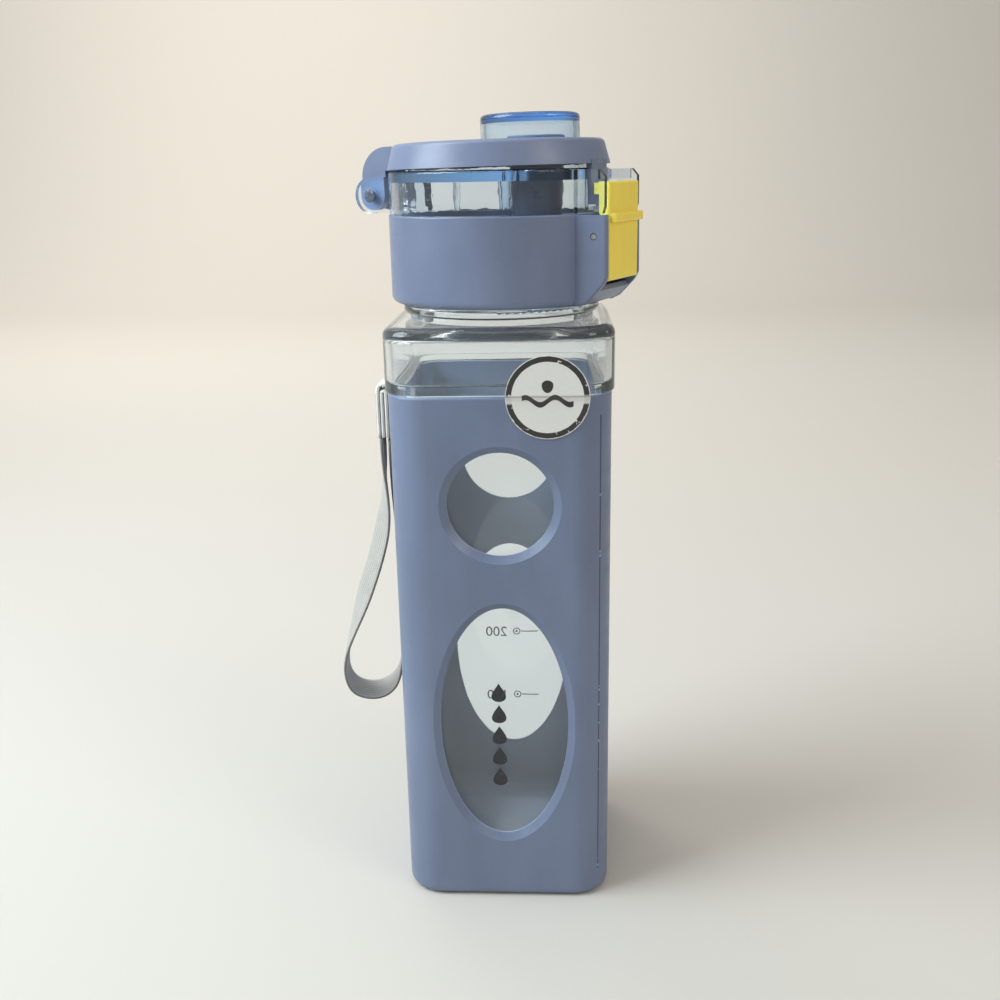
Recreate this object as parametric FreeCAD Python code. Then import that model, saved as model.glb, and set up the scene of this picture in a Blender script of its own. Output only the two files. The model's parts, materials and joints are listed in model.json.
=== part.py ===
"""Square glass water bottle: glass body in a windowed sleeve, screw lid with a flip cover and latch.

Millimetres. +Z is up, the origin is the middle of the foot, and the front of the sleeve faces -Y.
The lid is drawn in its own frame, with the latch on +X and the hinge on -X, and then turned by
LID_TURN about Z.
"""
import FreeCAD, Part
import math
import os

os.makedirs("parts", exist_ok=True)
V = FreeCAD.Vector
X_AXIS, Y_AXIS, Z_AXIS = V(1, 0, 0), V(0, 1, 0), V(0, 0, 1)

# ---- driving dimensions -------------------------------------------------------------------
BODY_W = 68.0            # sleeve, across the flats
SLEEVE_H = 171.7         # top of the sleeve above the table
SLEEVE_WALL = 2.2
SLEEVE_CORNER = 12.0     # vertical corner radius
SLEEVE_FLOOR = 2.0
GLASS_GAP = 0.15         # glass to sleeve, all round
GLASS_WALL = 2.6
GLASS_FLOOR = 4.6
GLASS_ABOVE = 20.3       # top of the glass shoulder above the sleeve
SHOULDER_ROUND = 3.0
SHOULDER_WALL = 3.4
NECK_R = 29.0
NECK_WALL = 3.0
NECK_H = 22.0            # neck above the shoulder
BEAD_R, BEAD_Z0, BEAD_Z1 = 30.8, 1.8, 4.4     # ring on the neck, heights above the shoulder
BAND_OUT = 0.8           # glass above the sleeve stands this far past the sleeve's faces
THREAD_PITCH = 6.0
THREAD_DEPTH = 1.2
THREAD_TURNS = 1.25
THREAD_CLEAR = 0.35      # crest to root, both ways

CIRCLE_R, CIRCLE_BELOW = 16.4, 33.5     # round window, its centre below the sleeve's top
OVAL_RX, OVAL_FOOT = 20.6, 21.4         # oval window, half width and foot of its bevel above the table
WINDOW_GAP = 12.9                       # between the two windows' bevels
BEVEL_W, BEVEL_LAND = 2.3, 0.4          # bevel round each window, and the edge left square

LABEL_R, LABEL_T, LABEL_X, LABEL_LIFT = 12.5, 0.25, 14.7, 0.05

LID_TURN = 27.0          # latch side, clockwise from +X seen from above
SKIRT_WALL = 2.0
LINER_FIT = 0.15         # liner to skirt, all round
SKIRT_LIFT = 4.9         # skirt's lower edge above the shoulder
SKIRT_H = 26.3
LINER_WALL = 1.6
LINER_TOP = 2.5
GASKET_T = 1.9
DECK_H = 12.5
DECK_WALL = 2.3
DECK_PLATE = 3.2
DECK_INSET = 0.4         # deck radius inside the skirt's
COLLAR_GAP, COLLAR_WALL, COLLAR_H = 0.7, 2.2, 2.1      # collar on the deck, inside the tongue's root
SEAM = 0.2               # between lid pieces that meet
SPOUT_A, SPOUT_R, SPOUT_BORE = 13.0, 7.8, 5.4
SPOUT_RISE = 5.0         # spout's rim above the deck
VENT_R, VENT_BORE, VENT_GAP = 2.3, 1.3, 0.7      # vent tube, and the gap from it to the spout
POST_A, POST_R = -15.7, 0.9      # moulded post under the deck

HINGE_OUT = 8.7          # hinge pin, outside the skirt
HINGE_UP = 5.2           # hinge pin above the foot of the deck
CHEEK_R = 5.6            # round end of the clear cheeks
CHEEK_T = 2.6
ARM_HALF = 5.8
ARM_GAP = 0.3
BARREL_R = 4.6
HINGE_PIN_R = 1.25
RUN = 0.06               # radial clearance of a pin in a turning part
COVER_TILT = 0.8         # cover's slope when it rests on the catch
COVER_H = 7.3
COVER_TAPER = 2.0
COVER_ROUND = 1.6
COVER_GAP = 0.15          # cover's flat underside over the deck, before the tilt
COVER_SKIN = 2.0
DOME_A, DOME_R, DOME_WALL = 11.2, 14.85, 1.6
DOME_RISE, DOME_TOP, DOME_SEAT = 7.4, 2.6, 1.2
PLUG_LAP, PLUG_RISE, PLUG_FLANGE = 0.85, 1.2, 0.8    # plug past the spout, bead height, bead width

LEVER_HALF = 10.3
LEVER_STAND = 7.7        # lever's outer face, outside the skirt
LEVER_T = 3.2
LEVER_Z0, LEVER_Z1 = -18.9, 8.9         # lever's ends, from the top of the skirt
LATCH_PIN_OUT, LATCH_PIN_Z, LATCH_PIN_R = 3.4, -6.2, 1.0    # outside the skirt, and from its top
LEVER_BOSS_R = 2.4
RIB_Z, RIB_H, RIB_OUT = -1.1, 2.6, 1.8
LIP_IN, LIP_H = 1.8, 3.4
HOUSE_GAP = 0.3          # lever to its housing, each side
HOUSE_WALL = 1.8
HOUSE_ROUND = 2.2        # lower corners of the housing, seen from the side
HOOD_IN = 0.9            # hood short of the lever's face
TONGUE_HALF, TONGUE_T = 5.0, 1.9
TONGUE_ROOT = 3.5        # tongue's root, inside the cover's upper edge
CATCH_GAP = 0.3
SPRING_WIRE = 0.35
SPRING_TURNS = 4
SPRING_HALF = 2.2        # half length of each coil
SPRING_POCKET = 0.5      # space left beyond each end of a coil

STRAP_W, STRAP_T = 8.0, 1.3
STRAP_Y = -11.5
ANCHOR_OUT, ANCHOR_H, ANCHOR_OVER = 5.4, 17.8, 1.4
ANCHOR_TURN = 0.9        # webbing layer that goes round the rim
ANCHOR_BELOW = 13.0      # slot in the sleeve, below its top

# ---- sizes that follow ----------------------------------------------------------------------
HALF = BODY_W / 2
GLASS_HALF = HALF - SLEEVE_WALL - GLASS_GAP
GLASS_CORNER = SLEEVE_CORNER - SLEEVE_WALL - GLASS_GAP
BAND_HALF = HALF + BAND_OUT
BAND_Z = SLEEVE_H + 0.3
SHOULDER_Z = SLEEVE_H + GLASS_ABOVE
OVAL_RZ = (SLEEVE_H - CIRCLE_BELOW - CIRCLE_R - BEVEL_W - WINDOW_GAP - OVAL_FOOT) / 2 - BEVEL_W
OVAL_Z = OVAL_FOOT + BEVEL_W + OVAL_RZ
NECK_TOP = SHOULDER_Z + NECK_H
NECK_BORE = NECK_R - NECK_WALL
LINER_BORE = NECK_R + THREAD_DEPTH + THREAD_CLEAR
LINER_R = LINER_BORE + LINER_WALL
SKIRT_R = LINER_R + LINER_FIT + SKIRT_WALL
SKIRT_Z = SHOULDER_Z + SKIRT_LIFT
SKIRT_TOP = SKIRT_Z + SKIRT_H
SKIRT_BORE = SKIRT_R - SKIRT_WALL
GASKET_Z = NECK_TOP + 0.1
PLATE_Z = GASKET_Z + GASKET_T + 0.1
LINER_TOP_Z = PLATE_Z + LINER_TOP
DECK_R = SKIRT_R - DECK_INSET
COVER_R = DECK_R + 0.2
DECK_Z = SKIRT_TOP + SEAM
DECK_TOP = DECK_Z + DECK_H
HOLLOW_TOP = DECK_TOP - DECK_PLATE
COLLAR_R = COVER_R - COVER_TAPER - TONGUE_ROOT - COLLAR_GAP
SPIGOT_R = SKIRT_BORE - 0.2
SPIGOT_Z = LINER_TOP_Z + 0.3
SPOUT_TOP = DECK_TOP + SPOUT_RISE
HINGE_A = -(SKIRT_R + HINGE_OUT)
HINGE_Z = DECK_Z + HINGE_UP
CHEEK_IN = ARM_HALF + ARM_GAP
CHEEK_OUT = CHEEK_IN + CHEEK_T
COVER_Z = DECK_TOP + COVER_GAP
COVER_TOP = COVER_Z + COVER_H
SKIN_Z = COVER_TOP - COVER_SKIN
PLUG_R = SPOUT_R + PLUG_LAP
VENT_A = SPOUT_A - SPOUT_R - VENT_GAP - VENT_R
LATCH_PIN_A = SKIRT_R + LATCH_PIN_OUT
PIN_Z = SKIRT_TOP + LATCH_PIN_Z
LEVER_OUT = SKIRT_R + LEVER_STAND
LEVER_IN = LEVER_OUT - LEVER_T
LEVER_LOW, LEVER_HIGH = SKIRT_TOP + LEVER_Z0, SKIRT_TOP + LEVER_Z1
HOUSE_IN = LEVER_HALF + HOUSE_GAP
HOUSE_OUT = HOUSE_IN + HOUSE_WALL
HOOD_A = LEVER_OUT - HOOD_IN
LIP_A = LEVER_IN - LIP_IN
LIP_Z = LEVER_HIGH - LIP_H
TILT_LIFT = (LIP_A - HINGE_A) * math.sin(math.radians(COVER_TILT))


# ---- helpers ----------------------------------------------------------------------------------
def box(x0, x1, y0, y1, z0, z1):
    return Part.makeBox(x1 - x0, y1 - y0, z1 - z0, V(x0, y0, z0))


def disc(r, z0, z1, x=0.0, y=0.0):
    return Part.makeCylinder(r, z1 - z0, V(x, y, z0))


def ring(ro, ri, z0, z1, x=0.0, y=0.0):
    return disc(ro, z0, z1, x, y).cut(disc(ri, z0 - 1, z1 + 1, x, y))


def rod(r, x, z, y0, y1):
    """Cylinder along Y, as every pin, boss and barrel of the lid is."""
    return Part.makeCylinder(r, y1 - y0, V(x, y0, z), Y_AXIS)


def square_wire(half, corner, z):
    """Rounded square, centred on the Z axis."""
    k = half - corner
    edges = []
    for i in range(4):
        a = math.radians(90 * i)
        turn = lambda x, y: V(x * math.cos(a) - y * math.sin(a), x * math.sin(a) + y * math.cos(a), z)
        bend = corner * math.sqrt(0.5)
        edges.append(Part.LineSegment(turn(half, -k), turn(half, k)).toShape())
        edges.append(Part.Arc(turn(half, k), turn(k + bend, k + bend), turn(k, half)).toShape())
    return Part.Wire(edges)


def square_block(half, corner, z0, z1):
    return Part.Face(square_wire(half, corner, z0)).extrude(V(0, 0, z1 - z0))


def edges_at(shape, z):
    return [e for e in shape.Edges if abs(e.BoundBox.ZMin - z) < 1e-6 and abs(e.BoundBox.ZMax - z) < 1e-6]


def round_at(shape, z, r):
    return shape.makeFillet(r, edges_at(shape, z))


def lathe(points):
    """Solid of revolution about Z from (radius, z) corners."""
    wire = Part.makePolygon([V(r, 0, z) for r, z in points + points[:1]])
    return Part.Face(wire).revolve(V(0, 0, 0), Z_AXIS, 360)


def side_plate(points, y0, y1):
    """Plate with a profile in the XZ plane."""
    wire = Part.makePolygon([V(x, y0, z) for x, z in points + points[:1]])
    return Part.Face(wire).extrude(V(0, y1 - y0, 0))


def fuse(first, *others):
    return first.fuse(list(others)).removeSplitter()


def mirror_y(shape):
    return shape.mirror(V(0, 0, 0), Y_AXIS)


def thread(root_r, crest_r, z0, sink):
    """Helical ridge from root_r to crest_r, sunk a little into the wall it stands on."""
    side = math.copysign(1.0, crest_r - root_r)
    low, high = 1.3, 0.55
    path = Part.makeHelix(THREAD_PITCH, THREAD_PITCH * THREAD_TURNS, root_r)
    r0 = root_r - side * sink
    corners = [V(r0, 0, -low), V(crest_r, 0, -high), V(crest_r, 0, high), V(r0, 0, low)]
    shell = Part.BRepOffsetAPI.MakePipeShell(path)
    shell.setFrenetMode(True)
    shell.add(Part.makePolygon(corners + corners[:1]))
    shell.build()
    shell.makeSolid()
    ridge = shell.shape()
    ridge.translate(V(0, 0, z0))
    return ridge


def coil(x, z, mean_r, legs):
    """Torsion spring about a Y axis through (x, z), with one straight leg from each end."""
    pitch = 2 * SPRING_HALF / SPRING_TURNS
    path = Part.makeHelix(pitch, 2 * SPRING_HALF, mean_r)
    shell = Part.BRepOffsetAPI.MakePipeShell(path)
    shell.setFrenetMode(True)
    shell.add(Part.Wire(Part.makeCircle(SPRING_WIRE, V(mean_r, 0, 0), Y_AXIS)))
    shell.build()
    shell.makeSolid()
    body = shell.shape()
    for end, (reach, up) in zip((0, 2 * SPRING_HALF), legs):
        direction = V(0, up, 0)
        body = body.fuse(Part.makeCylinder(SPRING_WIRE * 0.97, reach, V(mean_r, 0, end), direction))
        body = body.fuse(Part.makeSphere(SPRING_WIRE * 1.1, V(mean_r, 0, end)))
    body.rotate(V(0, 0, 0), X_AXIS, 90)
    body.translate(V(x, SPRING_HALF, z))
    return body


def place_lid(shape):
    turned = shape.copy()
    turned.rotate(V(0, 0, 0), Z_AXIS, -LID_TURN)
    return turned


def place_cover(shape):
    """Cover pieces are drawn flat, then tipped up about the hinge pin."""
    tipped = shape.copy()
    tipped.rotate(V(HINGE_A, 0, HINGE_Z), Y_AXIS, -COVER_TILT)
    return place_lid(tipped)


def save(name, shape):
    solids = shape.Solids
    print(f"{name:14s} solids {len(solids)} valid {shape.isValid()} volume {shape.Volume:9.1f}")
    (solids[0] if len(solids) == 1 else shape).exportStep(f"parts/{name}.step")


# ---- glass bottle and sleeve --------------------------------------------------------------------
def glass_bottle():
    foot = SLEEVE_FLOOR + 0.1
    body = round_at(square_block(GLASS_HALF, GLASS_CORNER, foot, SHOULDER_Z - 10), foot, 5.0)
    band = square_block(BAND_HALF, SLEEVE_CORNER, BAND_Z, SHOULDER_Z)
    band = round_at(round_at(band, SHOULDER_Z, SHOULDER_ROUND), BAND_Z, 0.8)
    bead = disc(BEAD_R, SHOULDER_Z + BEAD_Z0, SHOULDER_Z + BEAD_Z1)
    bead = round_at(round_at(bead, SHOULDER_Z + BEAD_Z0, 0.9), SHOULDER_Z + BEAD_Z1, 0.9)
    outside = fuse(body, band, disc(NECK_R, SHOULDER_Z - 5, NECK_TOP), bead)
    floor, ceiling = foot + GLASS_FLOOR, SHOULDER_Z - SHOULDER_WALL
    room = square_block(GLASS_HALF - GLASS_WALL, GLASS_CORNER - GLASS_WALL, floor, ceiling - 5)
    wide = square_block(BAND_HALF - GLASS_WALL, SLEEVE_CORNER - GLASS_WALL, BAND_Z + GLASS_WALL, ceiling)
    wide = round_at(round_at(wide, ceiling, SHOULDER_ROUND - 1.5), BAND_Z + GLASS_WALL, 1.2)
    inside = fuse(round_at(room, floor, 5.0), wide, disc(NECK_BORE, ceiling - 4, NECK_TOP + 1))
    bottle = outside.cut(inside)
    rim = [e for e in edges_at(bottle, NECK_TOP)]
    bottle = bottle.makeFillet(0.9, rim)
    ridge = thread(NECK_R, NECK_R + THREAD_DEPTH, NECK_TOP - 10.5, 0.4)
    return bottle.fuse(ridge)


def window(outline_r, scale_x, scale_z, z, y_out, y_in):
    """Window cutter through one wall: a straight hole with a bevel that opens to the outside."""
    land = y_in + (y_out - y_in) * BEVEL_LAND / SLEEVE_WALL
    def loop(y, grow):
        ellipse = Part.Ellipse(V(0, y, z), max(scale_x, scale_z) * outline_r + grow,
                               min(scale_x, scale_z) * outline_r + grow)
        shape = ellipse.toShape()
        shape.rotate(V(0, y, z), X_AXIS, 90)
        if scale_z > scale_x:
            shape.rotate(V(0, y, z), Y_AXIS, 90)
        return Part.Wire(shape)
    past = (y_out - y_in) * 0.5
    bevel = Part.makeLoft([loop(land, 0.0), loop(y_out, BEVEL_W)], True)
    hole = Part.makeLoft([loop(y_in - past, 0.0), loop(y_out, 0.0)], True)
    mouth = Part.makeLoft([loop(y_out, BEVEL_W), loop(y_out + past, BEVEL_W)], True)
    return fuse(hole, bevel, mouth)


def sleeve():
    shell = round_at(square_block(HALF, SLEEVE_CORNER, 0, SLEEVE_H), 0, 3.0)
    inner = square_block(HALF - SLEEVE_WALL, SLEEVE_CORNER - SLEEVE_WALL, SLEEVE_FLOOR, SLEEVE_H + 1)
    shell = shell.cut(inner)
    rim = [e for e in edges_at(shell, SLEEVE_H) if e.BoundBox.XMax > HALF - 1e-3 or
           e.BoundBox.XMin < -HALF + 1e-3 or e.BoundBox.YMax > HALF - 1e-3 or
           e.BoundBox.YMin < -HALF + 1e-3]
    shell = shell.makeFillet(0.7, rim)
    for side in (-1, 1):
        y_out, y_in = side * HALF, side * (HALF - SLEEVE_WALL)
        shell = shell.cut(window(CIRCLE_R, 1.0, 1.0, SLEEVE_H - CIRCLE_BELOW, y_out, y_in))
        shell = shell.cut(window(1.0, OVAL_RX, OVAL_RZ, OVAL_Z, y_out, y_in))
    width = STRAP_W / 2 + 0.4
    groove_x = HALF - SLEEVE_WALL + ANCHOR_TURN + 0.2
    notch = box(-HALF - 1, -HALF + SLEEVE_WALL + 0.01, STRAP_Y - width, STRAP_Y + width,
                SLEEVE_H - ANCHOR_TURN - 0.6, SLEEVE_H + 1)
    groove = box(-groove_x, -HALF + SLEEVE_WALL + 0.01, STRAP_Y - width, STRAP_Y + width,
                 SLEEVE_H - ANCHOR_BELOW - 0.4, SLEEVE_H + 1)
    slot = box(-HALF - 1, -HALF + SLEEVE_WALL + 0.01, STRAP_Y - width, STRAP_Y + width,
               SLEEVE_H - ANCHOR_BELOW - 0.4, SLEEVE_H - ANCHOR_BELOW + ANCHOR_TURN + 0.4)
    return shell.cut(fuse(notch, groove, slot))


def round_label():
    """Round label, pressed down over the small step from the glass to the sleeve."""
    low, high, tall = HALF + LABEL_LIFT, BAND_HALF + LABEL_LIFT, 2 * LABEL_R
    back = [(-low, -tall), (-low, -1.0), (-high, BAND_Z - SLEEVE_H + 0.5), (-high, tall)]
    front = [(y - LABEL_T, z) for y, z in reversed(back)]
    corners = [V(LABEL_X - LABEL_R - 1, y, SLEEVE_H + z) for y, z in back + front]
    sheet = Part.Face(Part.makePolygon(corners + corners[:1])).extrude(V(2 * LABEL_R + 2, 0, 0))
    punch = Part.makeCylinder(LABEL_R, 3 * LABEL_R, V(LABEL_X, -HALF + LABEL_R, SLEEVE_H), V(0, -1, 0))
    return sheet.common(punch)


# ---- strap ----------------------------------------------------------------------------------------
# The strap's route, each point as (out from the sleeve's left wall, y, below the sleeve's top).
# It leaves the sewn block, hangs in a loop and comes back up beside the wall.
STRAP_ROUTE = [
    (4.2, -11.5, 16.5), (4.4, -11.4, 29.0), (5.6, -11.2, 43.0), (9.0, -10.6, 57.0),
    (13.9, -9.6, 71.0), (18.4, -8.2, 84.0), (21.3, -6.6, 94.0), (22.0, -4.9, 101.5),
    (20.2, -3.0, 107.6), (15.6, -0.8, 110.8), (10.2, 1.4, 110.6), (5.6, 3.4, 106.4),
    (3.3, 5.0, 99.4), (2.5, 6.0, 89.0), (2.4, 6.0, 76.0), (2.3, 3.2, 61.0), (2.2, -2.4, 45.5),
    (2.0, -8.2, 31.0), (1.5, -11.5, 16.5),
]


def route_point(out, y, below):
    return V(-HALF - out, y, SLEEVE_H - below)


def strap_path():
    """Straight runs joined by tangent arcs, each arc as large as its two runs allow."""
    points = [route_point(*p) for p in STRAP_ROUTE]
    edges, start, radii = [], points[0], []
    for before, at, after in zip(points, points[1:], points[2:]):
        run_in, run_out = (at - before), (after - at)
        shorter = min(run_in.Length, run_out.Length)
        d_in, d_out = V(run_in).normalize(), V(run_out).normalize()
        turn = d_in.getAngle(d_out)
        cut = 0.45 * shorter
        radius = cut / math.tan(turn / 2)
        radii.append(round(radius, 1))
        p0, p1 = at - d_in * cut, at + d_out * cut
        inward = V(d_out - d_in).normalize()
        centre = at + inward * (radius / math.cos(turn / 2))
        middle = centre - inward * radius
        edges.append(Part.LineSegment(start, p0).toShape())
        edges.append(Part.Arc(p0, middle, p1).toShape())
        start = p1
    edges.append(Part.LineSegment(start, points[-1]).toShape())
    path = Part.Wire(edges)
    print("strap radii", radii, "length", round(path.Length, 1))
    return path


def wrist_strap():
    """Flat webbing, kept with its width along Y."""
    path = strap_path()
    start = route_point(*STRAP_ROUTE[0])
    ahead = V(route_point(*STRAP_ROUTE[1]) - start).normalize()
    across = V(Y_AXIS - ahead * Y_AXIS.dot(ahead)).normalize()
    flat = ahead.cross(across)
    w, t = across * (STRAP_W / 2), flat * (STRAP_T / 2)
    corners = [start + w + t, start + w - t, start - w - t, start - w + t]
    shell = Part.BRepOffsetAPI.MakePipeShell(path)
    shell.setBiNormalMode(Y_AXIS)
    shell.setTransitionMode(0)
    shell.add(Part.makePolygon(corners + corners[:1]))
    shell.build()
    shell.makeSolid()
    strap = shell.shape()
    print("strap volume against section times length", round(strap.Volume / (STRAP_W * STRAP_T * path.Length), 4))
    return strap


def strap_anchor():
    """Sewn block of folded webbing, with one layer round the sleeve's rim and back through its slot."""
    y0, y1 = STRAP_Y - STRAP_W / 2 - 0.2, STRAP_Y + STRAP_W / 2 + 0.2
    top = SLEEVE_H + ANCHOR_OVER
    block = box(-HALF - ANCHOR_OUT, -HALF - 0.15, y0, y1, top - ANCHOR_H, top)
    upright = [e for e in block.Edges if e.BoundBox.XMax < -HALF - ANCHOR_OUT + 1e-3]
    block = block.makeFillet(1.2, upright)
    inner0 = -HALF + SLEEVE_WALL - ANCHOR_TURN - 0.1
    inner1 = -HALF + SLEEVE_WALL - 0.1
    over_z = SLEEVE_H - 0.3 - ANCHOR_TURN
    slot_z = SLEEVE_H - ANCHOR_BELOW
    over = box(-HALF - 0.5, inner1, y0, y1, over_z, over_z + ANCHOR_TURN)
    behind = box(inner0, inner1, y0, y1, slot_z, over_z + ANCHOR_TURN)
    back = box(-HALF - 0.5, inner1, y0, y1, slot_z, slot_z + ANCHOR_TURN)
    band = box(-HALF - BAND_OUT - 0.2, 0, y0 - 1, y1 + 1, SLEEVE_H - 0.1, top + 1)
    return fuse(block, over, behind, back).cut(band)


# ---- lid body ------------------------------------------------------------------------------------
def cap_liner():
    socket = ring(LINER_R, LINER_BORE, SKIRT_Z + 2.6, PLATE_Z)
    plate = disc(LINER_R, PLATE_Z, LINER_TOP_Z)
    hole = disc(SPOUT_BORE, PLATE_Z - 1, LINER_TOP_Z + 1, SPOUT_A)
    vent = disc(VENT_BORE, PLATE_Z - 1, LINER_TOP_Z + 1, VENT_A)
    liner = fuse(socket, plate).cut(fuse(hole, vent))
    ridge_z = NECK_TOP - 10.5 - THREAD_PITCH / 2
    ridge = thread(LINER_BORE, LINER_BORE - THREAD_DEPTH, ridge_z, 0.4)
    ridge = ridge.common(disc(LINER_R, SKIRT_Z + 2.6, PLATE_Z))
    return liner.fuse(ridge)


def neck_gasket():
    return ring(LINER_BORE - 0.3, NECK_BORE + 0.3, GASKET_Z, GASKET_Z + GASKET_T)


def housing_profile(top):
    low_a = SKIRT_R - 1.2
    return [(SKIRT_R - 4.5, top), (SKIRT_R - 4.5, SKIRT_Z), (low_a, SKIRT_Z), (low_a + 2.6, SKIRT_Z + 1.2),
            (LEVER_OUT - 1.4, LEVER_LOW - 1.2), (LEVER_OUT - 0.2, LEVER_LOW + 1.0), (LEVER_OUT - 0.4, top)]


def cap_skirt():
    tube = round_at(disc(SKIRT_R, SKIRT_Z, SKIRT_TOP), SKIRT_Z, 2.3)
    tube = round_at(tube, SKIRT_TOP, 0.4)
    cheek = side_plate(housing_profile(SKIRT_TOP - 0.2), HOUSE_IN, HOUSE_OUT)
    lower = [e for e in cheek.Edges if e.BoundBox.YLength > HOUSE_WALL - 1e-3 and
             e.BoundBox.XMin > SKIRT_R and e.BoundBox.ZMax < SKIRT_TOP - 1]
    cheek = cheek.makeFillet(HOUSE_ROUND, lower)
    outer = [e for e in cheek.Edges if e.BoundBox.YMin > HOUSE_OUT - 1e-3 and
             e.BoundBox.XMax > SKIRT_R - 4 and e.BoundBox.ZMin < SKIRT_TOP - 1]
    cheek = cheek.makeFillet(0.8, outer)
    floor_a = LEVER_IN + 0.2
    rise = (floor_a - SKIRT_R - 1.4)
    floor = side_plate([(SKIRT_R - 4, SKIRT_Z + 1.8), (SKIRT_R - 4, SKIRT_Z + 0.2), (SKIRT_R - 1.2, SKIRT_Z + 0.2),
                        (SKIRT_R + 1.4, SKIRT_Z + 1.3), (floor_a, SKIRT_Z + 1.3 + rise),
                        (floor_a - 1.0, SKIRT_Z + 2.5 + rise), (SKIRT_R + 0.6, SKIRT_Z + 2.8)],
                       -HOUSE_IN - 0.1, HOUSE_IN + 0.1)
    body = fuse(tube, cheek, mirror_y(cheek), floor)
    bore = disc(SKIRT_BORE, SKIRT_Z - 1, SKIRT_TOP + 1)
    pin = rod(LATCH_PIN_R, LATCH_PIN_A, PIN_Z, -HOUSE_OUT - 1, HOUSE_OUT + 1)
    return body.cut(bore).cut(pin)


def lid_deck():
    """Clear upper body: wall, top plate, hinge cheeks and the hood round the latch."""
    inner = DECK_R - DECK_WALL
    drum = lathe([(SPIGOT_R - 2, SPIGOT_Z), (SPIGOT_R, SPIGOT_Z), (SPIGOT_R, DECK_Z), (DECK_R, DECK_Z),
                  (DECK_R, DECK_TOP), (0, DECK_TOP), (0, HOLLOW_TOP), (inner, HOLLOW_TOP),
                  (inner, DECK_Z + 1.6), (SPIGOT_R - 2, DECK_Z + 1.6)])
    drum = drum.makeFillet(0.9, [e for e in edges_at(drum, DECK_TOP) if e.BoundBox.XMax > DECK_R - 1e-3])
    hub = box(HINGE_A, -DECK_R + 1.5, CHEEK_IN, CHEEK_OUT, DECK_Z, HINGE_Z + CHEEK_R)
    cheek = fuse(rod(CHEEK_R, HINGE_A, HINGE_Z, CHEEK_IN, CHEEK_OUT), hub)
    side = side_plate([(SKIRT_R - 6, DECK_Z), (HOOD_A - 0.6, DECK_Z), (HOOD_A, DECK_Z + 2),
                       (HOOD_A, DECK_TOP - 2.4), (HOOD_A - 1.8, DECK_TOP - 0.4), (SKIRT_R - 6, DECK_TOP - 0.4)],
                      HOUSE_IN, HOUSE_OUT)
    bridge = box(LEVER_IN - 0.2, HOOD_A - 1.8, -HOUSE_IN - 0.1, HOUSE_IN + 0.1, LEVER_HIGH + 0.6, DECK_TOP - 0.4)
    collar = ring(COLLAR_R, COLLAR_R - COLLAR_WALL, DECK_TOP - 0.1, DECK_TOP + COLLAR_H)
    body = fuse(drum, cheek, mirror_y(cheek), side, mirror_y(side), bridge, collar)
    clear = disc(inner, DECK_Z + 1.6, HOLLOW_TOP)
    slot = box(inner - 0.2, LEVER_IN - 0.3, -TONGUE_HALF - 1, TONGUE_HALF + 1, DECK_Z + 0.8, DECK_TOP + 1)
    post = disc(POST_R, DECK_Z, HOLLOW_TOP + 0.5, POST_A)
    body = body.cut(fuse(clear, slot))
    body = fuse(body, post)
    spout = disc(SPOUT_R + 0.15, HOLLOW_TOP - 1, DECK_TOP + 1, SPOUT_A)
    vent = disc(VENT_BORE, HOLLOW_TOP - 1, DECK_TOP + 1, VENT_A)
    pin = rod(HINGE_PIN_R, HINGE_A, HINGE_Z, -CHEEK_OUT - 1, CHEEK_OUT + 1)
    return body.cut(fuse(spout, vent, pin))


def mouth_spout():
    tube = disc(SPOUT_R, LINER_TOP_Z + 0.1, SPOUT_TOP, SPOUT_A)
    tube = round_at(tube, SPOUT_TOP, 0.9)
    flange = disc(SPOUT_R + 1.7, LINER_TOP_Z + 0.1, LINER_TOP_Z + 1.3, SPOUT_A)
    return fuse(tube, flange).cut(disc(SPOUT_BORE, LINER_TOP_Z - 1, SPOUT_TOP + 1, SPOUT_A)).cut(
        disc(VENT_R + 0.1, LINER_TOP_Z - 1, LINER_TOP_Z + 2, VENT_A))


def vent_tube():
    return ring(VENT_R, VENT_BORE, LINER_TOP_Z + 0.1, HOLLOW_TOP - 0.1, VENT_A)


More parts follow.
